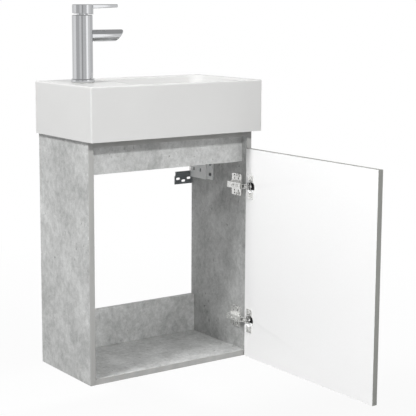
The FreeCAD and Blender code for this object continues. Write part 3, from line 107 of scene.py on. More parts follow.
# %% Sockets that add and multiply
class Signal:
    """An output socket that can be used in an expression."""

    def __init__(self, net, socket):
        self.net = net
        self.socket = socket

    def math(self, operation, first, second):
        return self.net.node("ShaderNodeMath", {"operation": operation}, {0: first, 1: second})

    def __add__(self, other):
        return self.math("ADD", self, other)

    def __sub__(self, other):
        return self.math("SUBTRACT", self, other)

    def __rsub__(self, other):
        return self.math("SUBTRACT", other, self)

    def __mul__(self, other):
        return self.math("MULTIPLY", self, other)

    def __gt__(self, other):
        return self.math("GREATER_THAN", self, other)

    def __lt__(self, other):
        return self.math("LESS_THAN", self, other)

    __radd__ = __add__
    __rmul__ = __mul__


class Net:
    """A node tree that is filled from code."""

    def __init__(self, tree):
        self.tree = tree
        tree.nodes.clear()

    def node(self, kind, settings=None, sockets=None, out=0):
        """Make a node and give one of its outputs, or the node itself where out is None."""
        made = self.tree.nodes.new(kind)
        for name, value in (settings or {}).items():
            setattr(made, name, value)
        for name, value in (sockets or {}).items():
            if isinstance(value, Signal):
                self.tree.links.new(value.socket, made.inputs[name])
            else:
                made.inputs[name].default_value = value
        return Signal(self, made.outputs[out]) if out is not None else made


print("shader maths ready")

# %% [markdown]
# ## Light
# The unit hangs in an even white studio. A faint world light fills the shadows, a lamp high on the
# left lights the left-hand sides and the tops, and a wide lamp behind keeps the back from going
# dark. The lamp in front is small, because the shadow under the basin's overhang has a crisp edge,
# and only a small lamp draws one. Reflections don't see the lamps, which would burn bright discs
# into the glaze. The camera and the metal see plain white through the Light Path node, so the
# white background costs the object no extra light.

# %% World
AMBIENT = 0.33


def seen_directly(net):
    """1 for what the camera sees, straight or by way of metal and glass; 0 for light that bounces."""
    camera_ray, glossy_ray, through_ray = (net.node("ShaderNodeLightPath", out=f"Is {kind} Ray")
                                           for kind in ("Camera", "Glossy", "Transmission"))
    return camera_ray + glossy_ray + through_ray > 0.5


world = bpy.data.worlds.new("studio")
scene.world = world
world.use_nodes = True
net = Net(world.node_tree)
strength = seen_directly(net) * (1 - AMBIENT) + AMBIENT
backdrop = net.node("ShaderNodeBackground", None, {"Color": (1, 1, 1, 1), "Strength": strength})
net.node("ShaderNodeOutputWorld", None, {"Surface": backdrop}, out=None)
print("ambient light", AMBIENT)

# %% Lamps
UNIT_MIDDLE = Vector((0.0, -0.15, -0.05))


def soft_lamp(name, at, size, watts):
    """A round lamp that points at the middle of the unit."""
    lamp = bpy.data.lights.new(name, "AREA")
    lamp.shape = "DISK"
    lamp.size = size
    lamp.energy = watts
    holder = bpy.data.objects.new(name, lamp)
    holder.location = at
    holder.rotation_euler = (UNIT_MIDDLE - Vector(at)).to_track_quat("-Z", "Y").to_euler()
    holder.visible_glossy = False
    scene.collection.objects.link(holder)


soft_lamp("left_lamp", (-2.2, -0.52, 2.2), size=0.8, watts=84)
soft_lamp("front_lamp", (-0.15, -1.9, 1.3), size=0.2, watts=25.5)
soft_lamp("rear_lamp", (2.4, 1.8, 0.9), size=2.4, watts=22)
print("three soft lamps")

# %% [markdown]
# ## Floor
# The floor is there for the unit's faint shadow. A glowing white plane would hide the shadow, and
# a lit one would turn grey far away, so the two are mixed: near the unit the camera sees a share of
# lit floor, and further out only white. From below the floor is clear, so that the unit's
# underside can be looked at too.

# %% Floor
TOP_ABOVE_FLOOR = 1.0
FLOOR_HEIGHT = cad_high.z - TOP_ABOVE_FLOOR
FLOOR_BOUNCE = 0.48
FLOOR_SEEN = 0.90
SHADOW_SHARE = 0.12
SHADOW_FULL = 0.7
SHADOW_END = 2.4
REACH = 6.0


def new_net(name):
    material = bpy.data.materials.new(name)
    material.use_nodes = True
    return material, Net(material.node_tree)


def flat_sheet(name, corners, material):
    mesh = bpy.data.meshes.new(name)
    mesh.from_pydata(corners, [], [(0, 1, 2, 3)])
    mesh.materials.append(material)
    sheet = bpy.data.objects.new(name, mesh)
    scene.collection.objects.link(sheet)
    return sheet


def wide_square(height):
    return [(x * REACH, y * REACH, height) for x, y in ((-1, -1), (1, -1), (1, 1), (-1, 1))]


floor_paint, net = new_net("floor_paint")
seen = seen_directly(net)
matt = net.node("ShaderNodeBsdfDiffuse", None, {"Color": seen * (FLOOR_SEEN - FLOOR_BOUNCE) + FLOOR_BOUNCE})
white = net.node("ShaderNodeEmission", None, {"Color": (1, 1, 1, 1), "Strength": 1.0})
from_foot = {0: net.node("ShaderNodeTexCoord", out="Object"), 1: (0, 0, FLOOR_HEIGHT)}
away = net.node("ShaderNodeVectorMath", {"operation": "DISTANCE"}, from_foot, out="Value")
near = net.node("ShaderNodeMapRange", None, {"Value": away, "From Min": SHADOW_END, "From Max": SHADOW_FULL})
mixed = net.node("ShaderNodeMixShader", None, {0: seen * (1 - near * SHADOW_SHARE), 1: matt, 2: white})
from_below = net.node("ShaderNodeNewGeometry", out="Backfacing")
clear = net.node("ShaderNodeBsdfTransparent")
one_sided = net.node("ShaderNodeMixShader", None, {0: from_below, 1: mixed, 2: clear})
net.node("ShaderNodeOutputMaterial", None, {"Surface": one_sided}, out=None)
flat_sheet("floor", wide_square(FLOOR_HEIGHT), floor_paint)
print("floor at", round(FLOOR_HEIGHT, 3), "m")

# %% [markdown]
# ## Grey cards
# Chrome in an all-white room would vanish. A photographer stands cards round it, and it mirrors
# them as dark and light streaks. This ring of grey cards under a grey ceiling does the same. Only
# reflections see the cards, and they cast no shadow.

# %% Cards and ceiling
CARD_DISTANCE = 2.0
CARD_FOOT = -0.6
CARD_TOP = 1.15
CEILING_TONE = 0.42
CARDS = {  # heading and width in degrees, and tone
    "behind_camera": (-146, 14, 0.46), "beside_camera": (-128, 22, 0.80), "left": (-98, 38, 0.58),
    "far_left": (-60, 38, 1.0), "rear_left": (-15, 52, 0.84), "rear": (34, 46, 0.74),
    "far_right": (88, 64, 0.70), "right": (135, 30, 0.86), "streak": (161, 22, 1.35),
    "right_of_camera": (-171, 36, 0.70),
}


def card_paint(tone):
    material, net = new_net(f"card_{tone}")
    glow = net.node("ShaderNodeEmission", None, {"Color": (tone, tone, tone, 1), "Strength": 1.0})
    net.node("ShaderNodeOutputMaterial", None, {"Surface": glow}, out=None)
    return material


def only_reflected(sheet):
    sheet.visible_camera = False
    sheet.visible_diffuse = False
    sheet.visible_shadow = False


for name, (heading, width, tone) in CARDS.items():
    angle = math.radians(heading)
    half_width = CARD_DISTANCE * math.tan(math.radians(width / 2))
    middle = Vector((math.sin(angle), math.cos(angle))) * CARD_DISTANCE
    aside = Vector((math.cos(angle), -math.sin(angle))) * half_width
    start, end = middle - aside, middle + aside
    corners = [(*start, CARD_FOOT), (*end, CARD_FOOT), (*end, CARD_TOP), (*start, CARD_TOP)]
    only_reflected(flat_sheet("card_" + name, corners, card_paint(tone)))
only_reflected(flat_sheet("ceiling_card", wide_square(CARD_TOP), card_paint(CEILING_TONE)))
print(len(CARDS), "grey cards and a ceiling")

# %% [markdown]
# ## Small words for finishes
# Every finish below reads Object coordinates, which are metres in the unit's own frame, so a
# speck that measures 2 mm in the sum measures 2 mm on the board. Colours are written as
# they look on a screen, 0 to 255, and turned into light values once.

# %% Helpers for finishes
def screen(red, green, blue):
    """A screen colour as linear light."""
    def linear(level):
        share = level / 255
        return share / 12.92 if share <= 0.04045 else ((share + 0.055) / 1.055) ** 2.4
    return (linear(red), linear(green), linear(blue), 1.0)


def place_on(net, stretch=(1, 1, 1)):
    spot = net.node("ShaderNodeTexCoord", out="Object")
    if stretch == (1, 1, 1):
        return spot
    return net.node("ShaderNodeMapping", {"vector_type": "POINT"}, {"Vector": spot, "Scale": stretch})


def along(net, axis):
    """One of the three coordinates."""
    return net.node("ShaderNodeSeparateXYZ", None, {0: place_on(net)}, out=axis)


def noise(net, scale, detail, roughness=0.55, stretch=(1, 1, 1), swirl=0.0):
    sockets = {"Vector": place_on(net, stretch), "Scale": scale, "Detail": detail, "Roughness": roughness,
               "Distortion": swirl}
    return net.node("ShaderNodeTexNoise", None, sockets)


def spread(net, value, low, high):
    """Stretch a value so that low becomes 0 and high becomes 1."""
    return net.node("ShaderNodeMapRange", None, {"Value": value, "From Min": low, "From Max": high})


def tint(net, share, first, second):
    """Mix two colours."""
    return net.node("ShaderNodeMix", {"data_type": "RGBA"}, {0: share, 6: first, 7: second}, out=2)


def relief(net, height, depth):
    """Small bumps of a given depth in metres."""
    return net.node("ShaderNodeBump", None, {"Height": height, "Distance": depth, "Strength": 1.0})


def finish(name, paint):
    """A material whose shader sockets come from paint(net)."""
    material, net = new_net(name)
    shader = net.node("ShaderNodeBsdfPrincipled", None, paint(net), out="BSDF")
    net.node("ShaderNodeOutputMaterial", None, {"Surface": shader}, out=None)
    return material


print("finish helpers ready")

# %% [markdown]
# ## Concrete-look boards
# The boards are chipboard with a printed concrete decor. A picture could be wrapped round them,
# but layers of noise say more about the pattern and show no seam: broad clouds, finger-sized
# blotches, a fine mottle and grain, worn and scuffed patches, and a scatter of dark pinholes.

# %% Concrete decor
BOARD_RELIEF = 0.00008


def concrete(net):
    """Colour, roughness and height of the printed decor."""
    clouds = spread(net, noise(net, 6, detail=4, roughness=0.55, swirl=0.6), 0.34, 0.66)
    blotches = spread(net, noise(net, 20, detail=9, roughness=0.74, swirl=0.3), 0.34, 0.66)
    mottle = spread(net, noise(net, 110, detail=5, roughness=0.7, stretch=(1, 1, 0.8)), 0.36, 0.64)
    grain = spread(net, noise(net, 300, detail=3, roughness=0.75), 0.34, 0.66)
    worn = spread(net, noise(net, 14, detail=8, roughness=0.76, swirl=1.2), 0.56, 0.66)
    scratches = noise(net, 17, detail=8, roughness=0.78, stretch=(0.7, 0.7, 1), swirl=1.0)
    scuffs = spread(net, scratches, 0.57, 0.68)
    pinholes = noise(net, 140, detail=3, roughness=0.6, stretch=(1, 1, 0.6))
    patches = spread(net, noise(net, 13, detail=2), 0.45, 0.60)
    specks = spread(net, pinholes, 0.64, 0.70) * patches
    tone = clouds * 0.25 + blotches * 0.35 + mottle * 0.24 + grain * 0.16
    plain = tint(net, tone, screen(132, 133, 132), screen(224, 225, 224))
    stained = tint(net, worn * 0.30, plain, screen(142, 143, 142))
    scuffed = tint(net, scuffs * 0.30, stained, screen(220, 221, 220))
    pitted = tint(net, specks * 0.70, scuffed, screen(96, 97, 96))
    dull = 0.50 + blotches * 0.12 + specks * 0.2
    height = grain * 0.4 + mottle * 0.3 - specks * 2.0
    return pitted, dull, height


print("concrete decor with a relief of", BOARD_RELIEF * 1000, "mm")

# %% [markdown]
# The front edges of the boards and the rims of the door carry a plain, slightly greener edge band,
# and the door's inner side is plain white. Where a face lies tells which of them it shows, so one
# finish serves all boards and a second one the door, with no faces to be picked by hand.

# %% Board and door finishes
FRONT_EDGE = -0.1956
DOOR_INNER_FACE = 0.1779
EDGE_BAND = 0.0005
LINING_ROUGHNESS = 0.45
LINING_BUMPS = 0.15
door_low, door_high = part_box("door_panel")


def edging(net, dark, light):
    """The plain edge band, faintly streaked along its length."""
    band = spread(net, noise(net, 40, detail=3, roughness=0.5, stretch=(1, 1, 0.15)), 0.3, 0.7)
    return tint(net, band, dark, light)


def board_paint(net):
    decor, dull, height = concrete(net)
    banding = edging(net, screen(162, 162, 160), screen(174, 174, 172))
    colour = tint(net, along(net, "Y") < FRONT_EDGE, decor, banding)
    return {"Base Color": colour, "Roughness": dull, "Normal": relief(net, height, BOARD_RELIEF)}


def door_paint(net):
    decor, dull, height = concrete(net)
    orange_peel = noise(net, 260, detail=2, roughness=0.5)
    lining = tint(net, orange_peel, screen(240, 240, 240), screen(244, 244, 244))
    lined = along(net, "X") < DOOR_INNER_FACE
    depth = along(net, "Y")
    rise = along(net, "Z")
    upright_rims = (depth < door_low.y + EDGE_BAND) + (depth > door_high.y - EDGE_BAND)
    level_rims = (rise < door_low.z + EDGE_BAND) + (rise > door_high.z - EDGE_BAND)
    banding = edging(net, screen(136, 137, 133), screen(148, 149, 145))
    banded = tint(net, upright_rims + level_rims > 0.5, decor, banding)
    rough = lined * LINING_ROUGHNESS + (1 - lined) * dull
    bumps = lined * orange_peel * LINING_BUMPS + (1 - lined) * height
    return {"Base Color": tint(net, lined, banded, lining), "Roughness": rough,
            "Normal": relief(net, bumps, BOARD_RELIEF)}


board_finish = finish("concrete_board", board_paint)
door_finish = finish("door_board", door_paint)
print("board finishes", board_finish.name, door_finish.name)

# %% [markdown]
# ## Glaze, metals, plastics and wood
# Fired glaze is white, smooth and a little wavy. Chrome is a mirror, so all that can be written is
# its tint and a breath of haze. The hinge steel is nickel plated and brushed by its press tools,
# and zinc and brass follow the same recipe with other numbers. Blackened and painted steel are
# coats, so they follow the recipe for plastics, whose grain comes from the mould.

# %% Recipes
def glaze_paint(net):
    firing = noise(net, 11, detail=3, roughness=0.5)
    waves = noise(net, 24, detail=2, roughness=0.5)
    colour = tint(net, firing, screen(206, 206, 205), screen(212, 212, 211))
    return {"Base Color": colour, "Roughness": 0.28 + firing * 0.06,
            "Normal": relief(net, waves, 0.00015), "Coat Weight": 0.1, "Coat Roughness": 0.2}


def metal_paint(dark, light, haze, brushing, scale, stretch=(1, 1, 1), metallic=1.0):
    """A metal between two tints, with its haze and the depth of its brush marks."""
    def paint(net):
        cloud = noise(net, scale * 0.12, detail=3, roughness=0.5)
        marks = noise(net, scale, detail=3, roughness=0.6, stretch=stretch)
        colour = tint(net, cloud * 0.5 + marks * 0.5, dark, light)
        return {"Base Color": colour, "Metallic": metallic, "Roughness": haze + marks * haze,
                "Normal": relief(net, marks, brushing)}
    return paint


def plastic_paint(dark, light, haze, grain_size, depth):
    """A moulded plastic, a rubber or a coat of paint, with the size and depth of its grain."""
    def paint(net):
        grain = noise(net, 1 / grain_size, detail=2, roughness=0.5)
        cloud = noise(net, 30, detail=3, roughness=0.5)
        colour = tint(net, cloud * 0.6 + grain * 0.4, dark, light)
        return {"Base Color": colour, "Roughness": haze + grain * 0.15, "Normal": relief(net, grain, depth)}
    return paint


def beech_paint(net):
    rings = noise(net, 160, detail=4, roughness=0.6, stretch=(0.08, 1, 1))
    flecks = spread(net, noise(net, 700, detail=2, roughness=0.5, stretch=(0.2, 1, 1)), 0.55, 0.7)
    wood = tint(net, rings, screen(196, 160, 118), screen(221, 190, 150))
    colour = tint(net, flecks * 0.5, wood, screen(150, 112, 76))
    return {"Base Color": colour, "Roughness": 0.6 + rings * 0.15, "Normal": relief(net, rings, 0.0001)}


print("recipes for glaze, metal, plastic and beech")

# %% Finishes from the recipes
glaze = finish("white_glaze", glaze_paint)
chrome = finish("chrome", metal_paint(screen(198, 199, 201), screen(212, 213, 215),
                                      haze=0.05, brushing=0.000004, scale=300))
nickel = finish("nickel_plate", metal_paint(screen(236, 236, 234), screen(250, 250, 248), haze=0.17,
                                            brushing=0.00001, scale=900, stretch=(1, 0.12, 1), metallic=0.7))
zinc = finish("zinc_casting", metal_paint(screen(150, 152, 154), screen(176, 178, 180),
                                          haze=0.22, brushing=0.00003, scale=500))
dark_steel = finish("blackened_steel", plastic_paint(screen(84, 88, 92), screen(106, 110, 114),
                                                     haze=0.36, grain_size=0.0007, depth=0.00003))
plate_steel = finish("grey_plate_steel", plastic_paint(screen(112, 117, 121), screen(140, 145, 149),
                                                       haze=0.32, grain_size=0.0007, depth=0.00003))
brass = finish("brass", metal_paint(screen(190, 158, 92), screen(214, 184, 120),
                                    haze=0.15, brushing=0.00002, scale=600))
hanger_plastic = finish("hanger_plastic", plastic_paint(screen(248, 249, 249), screen(254, 255, 255),
                                                        haze=0.42, grain_size=0.0016, depth=0.00003))
black_plastic = finish("black_plastic", plastic_paint(screen(24, 24, 25), screen(34, 34, 36),
                                                      haze=0.38, grain_size=0.0012, depth=0.00004))
ivory_plastic = finish("cartridge_plastic", plastic_paint(screen(206, 206, 200), screen(222, 222, 216),
                                                          haze=0.35, grain_size=0.0015, depth=0.00003))
rubber = finish("rubber", plastic_paint(screen(36, 36, 36), screen(50, 50, 50),
                                        haze=0.62, grain_size=0.0009, depth=0.00005))
beech = finish("beech", beech_paint)
print("twelve more finishes")

# %% [markdown]
# ## Boards with soft edges
# The engineered pieces have knife edges, and nothing real has those: the small bright line along
# an edge is what makes a board look like a board. Each copy is welded, its flat faces are
# cleaned, and its long sharp edges are given a small round. Working on a copy keeps the holes
# and slots where the engineering put them.

# %% Soft-edged copies
SHARP = math.radians(35)
FLAT = math.radians(1)
COPY_WELD = 2e-6


def put(name, mesh, finishes, body, replaced):
    """Finish a mesh as a piece that rides on a body and stands for engineered pieces."""
    for material in finishes:
        mesh.materials.append(material)
    for face in mesh.polygons:
        face.use_smooth = True
    mesh.set_sharp_from_angle(angle=SHARP)
    piece = bpy.data.objects.new(name, mesh)
    scene.collection.objects.link(piece)
    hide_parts(*replaced)
    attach(piece, body)
    return piece


def to_mesh(shell, name):
    mesh = bpy.data.meshes.new(name)
    shell.to_mesh(mesh)
    shell.free()
    return mesh


def round_edges(shell, round_over, shortest):
    """Round over the sharp edges that are longer than shortest."""
    edges = [edge for edge in shell.edges
             if edge.is_manifold and edge.calc_face_angle(0) > SHARP and edge.calc_length() > shortest]
    bmesh.ops.bevel(shell, geom=edges, offset=round_over, segments=3, profile=0.5,
                    affect="EDGES", clamp_overlap=True)


def soft_copy(node, round_over, shortest, finishes, pick=None, levels=()):
    """A welded copy of a node, with its edges rounded over.

    The faces are split at the levels, and pick chooses a finish for the middle of each face.
    """
    shell = bmesh.new()
    shell.from_mesh(nodes[node].data)
    bmesh.ops.remove_doubles(shell, verts=shell.verts, dist=COPY_WELD)
    bmesh.ops.dissolve_limit(shell, angle_limit=FLAT, verts=shell.verts, edges=shell.edges)
    for level in levels:
        everything = [*shell.verts, *shell.edges, *shell.faces]
        bmesh.ops.bisect_plane(shell, geom=everything, plane_co=(0, 0, level), plane_no=(0, 0, 1))
    if round_over:
        round_edges(shell, round_over, shortest)
    for face in shell.faces:
        face.material_index = pick(face.calc_center_median()) if pick else 0
    bmesh.ops.triangulate(shell, faces=[face for face in shell.faces if len(face.verts) > 4])
    name = node + "_finished"
    piece = put(name, to_mesh(shell, name), finishes, body_of_node[node], [node])
    flat = piece.modifiers.new("flat_faces", "WEIGHTED_NORMAL")
    flat.keep_sharp = True


print("ready to round edges")

# %% Boards
BOARD_ROUND = 0.0007
DOOR_ROUND = 0.0004
LONG_EDGE = 0.04
BOARDS = ("left_side_panel", "right_side_panel", "bottom_panel", "top_stretcher", "front_rail",
          "rear_top_rail", "rear_bottom_rail")
for board in BOARDS:
    soft_copy(board, BOARD_ROUND, LONG_EDGE, [board_finish])
soft_copy("door_panel", DOOR_ROUND, LONG_EDGE, [door_finish])
print(len(BOARDS), "boards and a door with rounded edges")

# %% [markdown]
# ## Hinges and hangers
# Each concealed hinge is a folded arm on a slotted plate, two links, and a cup let into the door.
# Inside the cup's pot the faces are black in a band at the height of the links, and pale above and
# below it, so they take two more finishes, told apart by their height. The hanger is a plastic
# housing with a steel hook, which hangs on a grey wall plate.

# %% Hinge and hanger pieces
CUP_MOUTH = 0.1779
BLACK_BAND_HALF = 0.0075
PRESSED = {  # round of the edges, and the shortest edge that gets one
    "hinge_arm": (0.0003, 0.004), "hinge_plate": (0.0004, 0.004),
    "long_link": (0.0002, 0.003), "short_link": (0.0002, 0.003),
}
for level in ("upper", "lower"):
    cup_low, cup_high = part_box(f"{level}_hinge_cup")
    cup_height = (cup_low.z + cup_high.z) / 2

    # Faces inside the pot: black in a band at the links' height, pale above and below it.
    def cup_finish(spot, height=cup_height):
        if spot.x < CUP_MOUTH:
            return 0
        return 1 if abs(spot.z - height) < BLACK_BAND_HALF else 2

    soft_copy(f"{level}_hinge_cup", 0, 0, [nickel, black_plastic, hanger_plastic],
              cup_finish, (cup_height - BLACK_BAND_HALF, cup_height + BLACK_BAND_HALF))
    for kind, (round_over, shortest) in PRESSED.items():
        soft_copy(f"{level}_{kind}", round_over, shortest, [nickel])
for side in ("left", "right"):
    soft_copy(f"{side}_hanger_housing", 0.0006, 0.006, [hanger_plastic])
    soft_copy(f"{side}_hanger_hook", 0.0003, 0.004, [nickel])
    soft_copy(f"{side}_wall_plate", 0.0004, 0.004, [plate_steel])
print("two hinges and two hangers")

# %% [markdown]
# ## Basin
# The basin is one ceramic shell: outer wall, flat rim, tapered bowl, drain seat and the hollow
# underside. It could be cut from a block with Booleans, but all of it is also a chain of closed
# rings, each a rounded rectangle or a circle with the same number of points, joined ring to ring.
# That gives clean rows of faces. A ring laid close beside each rounding keeps the flats flat when
# the shell is shaded smooth.

# %% Rings
basin_low, basin_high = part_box("basin")
RIM_TOP = basin_high.z
EDGE = 0.003
SMALLEST_CORNER = 0.0003
CORNER_STEPS = 14
BOWL_LOW = Vector((-0.088, -0.206))
BOWL_HIGH = Vector((0.186, -0.014))
BOWL_CORNER = 0.026
BOWL_LEAN = 0.012
TIGHTER_FROM = BOWL_LEAN - 0.002
DRAIN = Vector((0.049, -0.110))


def rounded_ring(low, high, radius, z):
    """A rounded rectangle as points, anticlockwise from the right-hand front corner."""
    centres = (((high.x - radius, low.y + radius), -90), ((high.x - radius, high.y - radius), 0),
               ((low.x + radius, high.y - radius), 90), ((low.x + radius, low.y + radius), 180))
    ring = []
    for (x, y), start in centres:
        for step in range(CORNER_STEPS + 1):
            angle = math.radians(start + 90 * step / CORNER_STEPS)
            ring.append(Vector((x + radius * math.cos(angle), y + radius * math.sin(angle), z)))
    return ring


def outer_ring(inset, z):
    shift = Vector((inset, inset))
    return rounded_ring(basin_low.xy + shift, basin_high.xy - shift, max(EDGE - inset, SMALLEST_CORNER), z)


def bowl_ring(inset, z):
    """A ring that lies inset from the bowl's mouth; near the floor its corners grow tighter."""
    shift = Vector((inset, inset))
    tightening = max(inset - TIGHTER_FROM, 0) + min(inset, 0)
    return rounded_ring(BOWL_LOW + shift, BOWL_HIGH - shift, BOWL_CORNER - tightening, z)


def drain_ring(radius, z):
    shift = Vector((radius, radius))
    return rounded_ring(DRAIN - shift, DRAIN + shift, radius, z)


def kept_inside(ring, low, high):
    for point in ring:
        point.x = min(max(point.x, low.x), high.x)
        point.y = min(max(point.y, low.y), high.y)
    return ring


def arc(centre, radius, start, end, steps):
    for step in range(steps + 1):
        angle = math.radians(start + (end - start) * step / steps)
        yield centre[0] + radius * math.cos(angle), centre[1] + radius * math.sin(angle)


print("rings of", 4 * (CORNER_STEPS + 1), "points")

# %% Basin as a chain of rings
LIP = 0.005
BOWL_DEPTH = 0.080
BOWL_FLOOR = RIM_TOP - BOWL_DEPTH
FLOOR_ROUND = 0.016
BESIDE = 0.001
SHELL = 0.011
DECK = 0.014
SEAT_DEPTH = 0.002
DRAIN_STEPS = [  # radius, and depth under the bowl's floor
    (0.0345, 0), (0.033, 0.001), (0.033, SEAT_DEPTH), (0.0226, SEAT_DEPTH), (0.0226, SHELL), (0.035, SHELL)]
UNDER_HEIGHTS = (0.15, 0.17, 0.19, 0.20)
HOLLOW_CORNER = 0.0005

lean = math.degrees(math.atan2(BOWL_LEAN, RIM_TOP - BOWL_FLOOR))
half_turn = math.tan(math.radians((90 - lean) / 2))
lip = LIP * half_turn
foot = BOWL_LEAN + FLOOR_ROUND * half_turn
rings = [outer_ring(0, z) for z in (basin_low.z, basin_low.z + BESIDE, RIM_TOP - EDGE - BESIDE)]
rings += [outer_ring(EDGE - x, z) for x, z in arc((0, RIM_TOP - EDGE), EDGE, 0, 90, 6)]
rings += [outer_ring(EDGE + BESIDE, RIM_TOP), bowl_ring(-lip - BESIDE, RIM_TOP)]
rings += [bowl_ring(x, z) for x, z in arc((-lip, RIM_TOP - LIP), LIP, 90, lean, 6)]
rings += [bowl_ring(x, z) for x, z in arc((foot, BOWL_FLOOR + FLOOR_ROUND), FLOOR_ROUND, 180 + lean, 270, 10)]
rings += [bowl_ring(foot + BESIDE, BOWL_FLOOR)]
rings += [drain_ring(radius, BOWL_FLOOR - depth) for radius, depth in DRAIN_STEPS]

hollow_low = basin_low.xy + Vector((SHELL, SHELL))
hollow_high = basin_high.xy - Vector((SHELL, SHELL))
under_floor = BOWL_FLOOR - SHELL
under_deck = RIM_TOP - DECK
for z in (under_floor, *UNDER_HEIGHTS, under_deck):
    rise = (z - under_floor) / (RIM_TOP - BOWL_FLOOR)
    under_ring = bowl_ring(BOWL_LEAN * (1 - rise) - SHELL / 2, z)
    rings.append(kept_inside(under_ring, hollow_low, hollow_high))
rings += [rounded_ring(hollow_low, hollow_high, HOLLOW_CORNER, z) for z in (under_deck, basin_low.z)]
print("basin of", len(rings), "rings")

# %% [markdown]
# Joining the rings is one short function, which the tap and the waste use as well. The hole for the
# tap doesn't follow the rings, so a Boolean cuts it, and the result is kept as plain mesh.

# %% Lofting and cutting
LOFT_WELD = 1e-6


def loft(rings, closed):
    """Join rings of equal count with quads; a closed chain also joins its last ring to its first."""
    shell = bmesh.new()
    rows = [[shell.verts.new(point) for point in ring] for ring in rings]
    pairs = list(zip(rows, rows[1:]))
    if closed:
        pairs.append((rows[-1], rows[0]))
    else:
        shell.faces.new(rows[0][::-1])
        shell.faces.new(rows[-1])
    for first, second in pairs:
        for index in range(len(first)):
            after = (index + 1) % len(first)
            shell.faces.new((first[index], first[after], second[after], second[index]))
    bmesh.ops.remove_doubles(shell, verts=shell.verts, dist=LOFT_WELD)
    bmesh.ops.dissolve_degenerate(shell, edges=shell.edges, dist=LOFT_WELD)
    bmesh.ops.recalc_face_normals(shell, faces=shell.faces)
    return shell


def round_rings(profile, centre, steps):
    """A turned shape's rings from (radius, height) pairs."""
    return [[Vector((centre.x + radius * math.cos(math.tau * step / steps),
                     centre.y + radius * math.sin(math.tau * step / steps), z))
             for step in range(steps)] for radius, z in profile]


def evaluated_mesh(item):
    """What an object's modifiers make of it, as plain mesh."""
    return bpy.data.meshes.new_from_object(item.evaluated_get(bpy.context.evaluated_depsgraph_get()))


def combined(name, mesh, tool, operation):
    """One mesh joined with, or cut by, another."""
    base = bpy.data.objects.new(name, mesh)
    cutter = bpy.data.objects.new(name + "_tool", tool)
    for item in (base, cutter):
        scene.collection.objects.link(item)
    change = base.modifiers.new("join", "BOOLEAN")
    change.operation = operation
    change.solver = "EXACT"
    change.object = cutter
    result = evaluated_mesh(base)
    for item in (base, cutter):
        bpy.data.objects.remove(item)
    result.name = name
    return result


print("ready to loft")

# %% Basin piece
TAP = Vector((-0.150, -0.104))
TAP_HOLE = 0.0175
HOLE_BELOW = 0.03
HOLE_ABOVE = 0.01
HOLE_STEPS = 64
hole_profile = [(TAP_HOLE, RIM_TOP - HOLE_BELOW), (TAP_HOLE, RIM_TOP + HOLE_ABOVE)]
tap_hole = to_mesh(loft(round_rings(hole_profile, TAP, HOLE_STEPS), False), "hole")
basin_shell = to_mesh(loft(rings, True), "basin_shell")
basin_mesh = combined("basin_glazed", basin_shell, tap_hole, "DIFFERENCE")
put("basin_glazed", basin_mesh, [glaze], "cabinet", ["basin"])
print("basin of", len(basin_mesh.polygons), "faces")

# %% [markdown]
# ## Tap
# The tap is a turned column on a base ring, with a round spout, a cap and a lever. Turned pieces
# come from a profile spun round the axis, with enough steps that chrome shows no facets.

# %% Base ring
STEPS = 96
NO_HOLE = 1e-5
AXIS_WELD = 4e-5
RING_BORE = 0.016
RING_BEVEL = 0.0015
RING_ROUND = 0.0009


def chromed(node, mesh):
    """Put a chromed mesh in the place of one engineered piece."""
    return put(node + "_chromed", mesh, [chrome], body_of_node[node], [node])


def turned(node, profile, centre, round_over=0.0):
    """A chromed piece spun from a closed profile of (radius, height) pairs."""
    shell = loft(round_rings([(max(radius, NO_HOLE), z) for radius, z in profile], centre, STEPS), True)
    bmesh.ops.remove_doubles(shell, verts=shell.verts, dist=AXIS_WELD)
    if round_over:
        round_edges(shell, round_over, 0)
    chromed(node, to_mesh(shell, node + "_chromed"))


ring_low, ring_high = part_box("tap_base_ring")
ring_radius = (ring_high.x - ring_low.x) / 2
ring_profile = [(RING_BORE, ring_low.z), (ring_radius, ring_low.z), (ring_radius, ring_high.z - RING_BEVEL),
                (ring_radius - RING_BEVEL, ring_high.z), (RING_BORE, ring_high.z)]
turned("tap_base_ring", ring_profile, TAP, RING_ROUND)
print("base ring radius", round(ring_radius * 1000, 1), "mm")

# %% [markdown]
# The spout is a tube cut off on a slope. Rings along a curve round its tip over, and two more rings
# sink the hole for the aerator. The tube is joined to the column with a Boolean, and a Bevel
# modifier softens the crease where the two meet, as polishing does before the chrome goes on.

# %% Column
COLUMN = 0.020
SHOULDER = 0.0015
NUT_SEAT = 0.0175
NUT_DEPTH = 0.006
MIDDLE = 1e-4
body_low, body_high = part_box("tap_body")
shoulder_foot = body_high.z - SHOULDER
seat = body_high.z - NUT_DEPTH
column_profile = [(MIDDLE, body_low.z), (COLUMN, body_low.z), (COLUMN, shoulder_foot)]
column_profile += [(COLUMN - SHOULDER + x, shoulder_foot + z) for x, z in arc((0, 0), SHOULDER, 0, 90, 5)]
column_profile += [(NUT_SEAT, body_high.z), (NUT_SEAT, seat), (MIDDLE, seat)]
column = to_mesh(loft(round_rings(column_profile, TAP, STEPS), False), "column")
print("column", round((body_high.z - body_low.z) * 1000), "mm high")

# %% Spout
SPOUT = 0.0115
SPOUT_TIP = TAP.x + 0.092
SPOUT_HEIGHT = RIM_TOP + 0.090
SPOUT_SLOPE = math.radians(40)
TIP_SOFT = 0.0025
TIP_STEPS = 8
AERATOR_HOLE = 0.008
AERATOR_DEPTH = 0.0065
slope_back = math.tan(SPOUT_SLOPE)
tip_middle = Vector((SPOUT_TIP - SPOUT * slope_back, TAP.y, SPOUT_HEIGHT))
tip_axis = Vector((math.cos(SPOUT_SLOPE), 0, -math.sin(SPOUT_SLOPE)))
tip_up = Vector((math.sin(SPOUT_SLOPE), 0, math.cos(SPOUT_SLOPE)))
tip_side = Vector((0, 1, 0))
round_angles = [math.tau * step / STEPS for step in range(STEPS)]


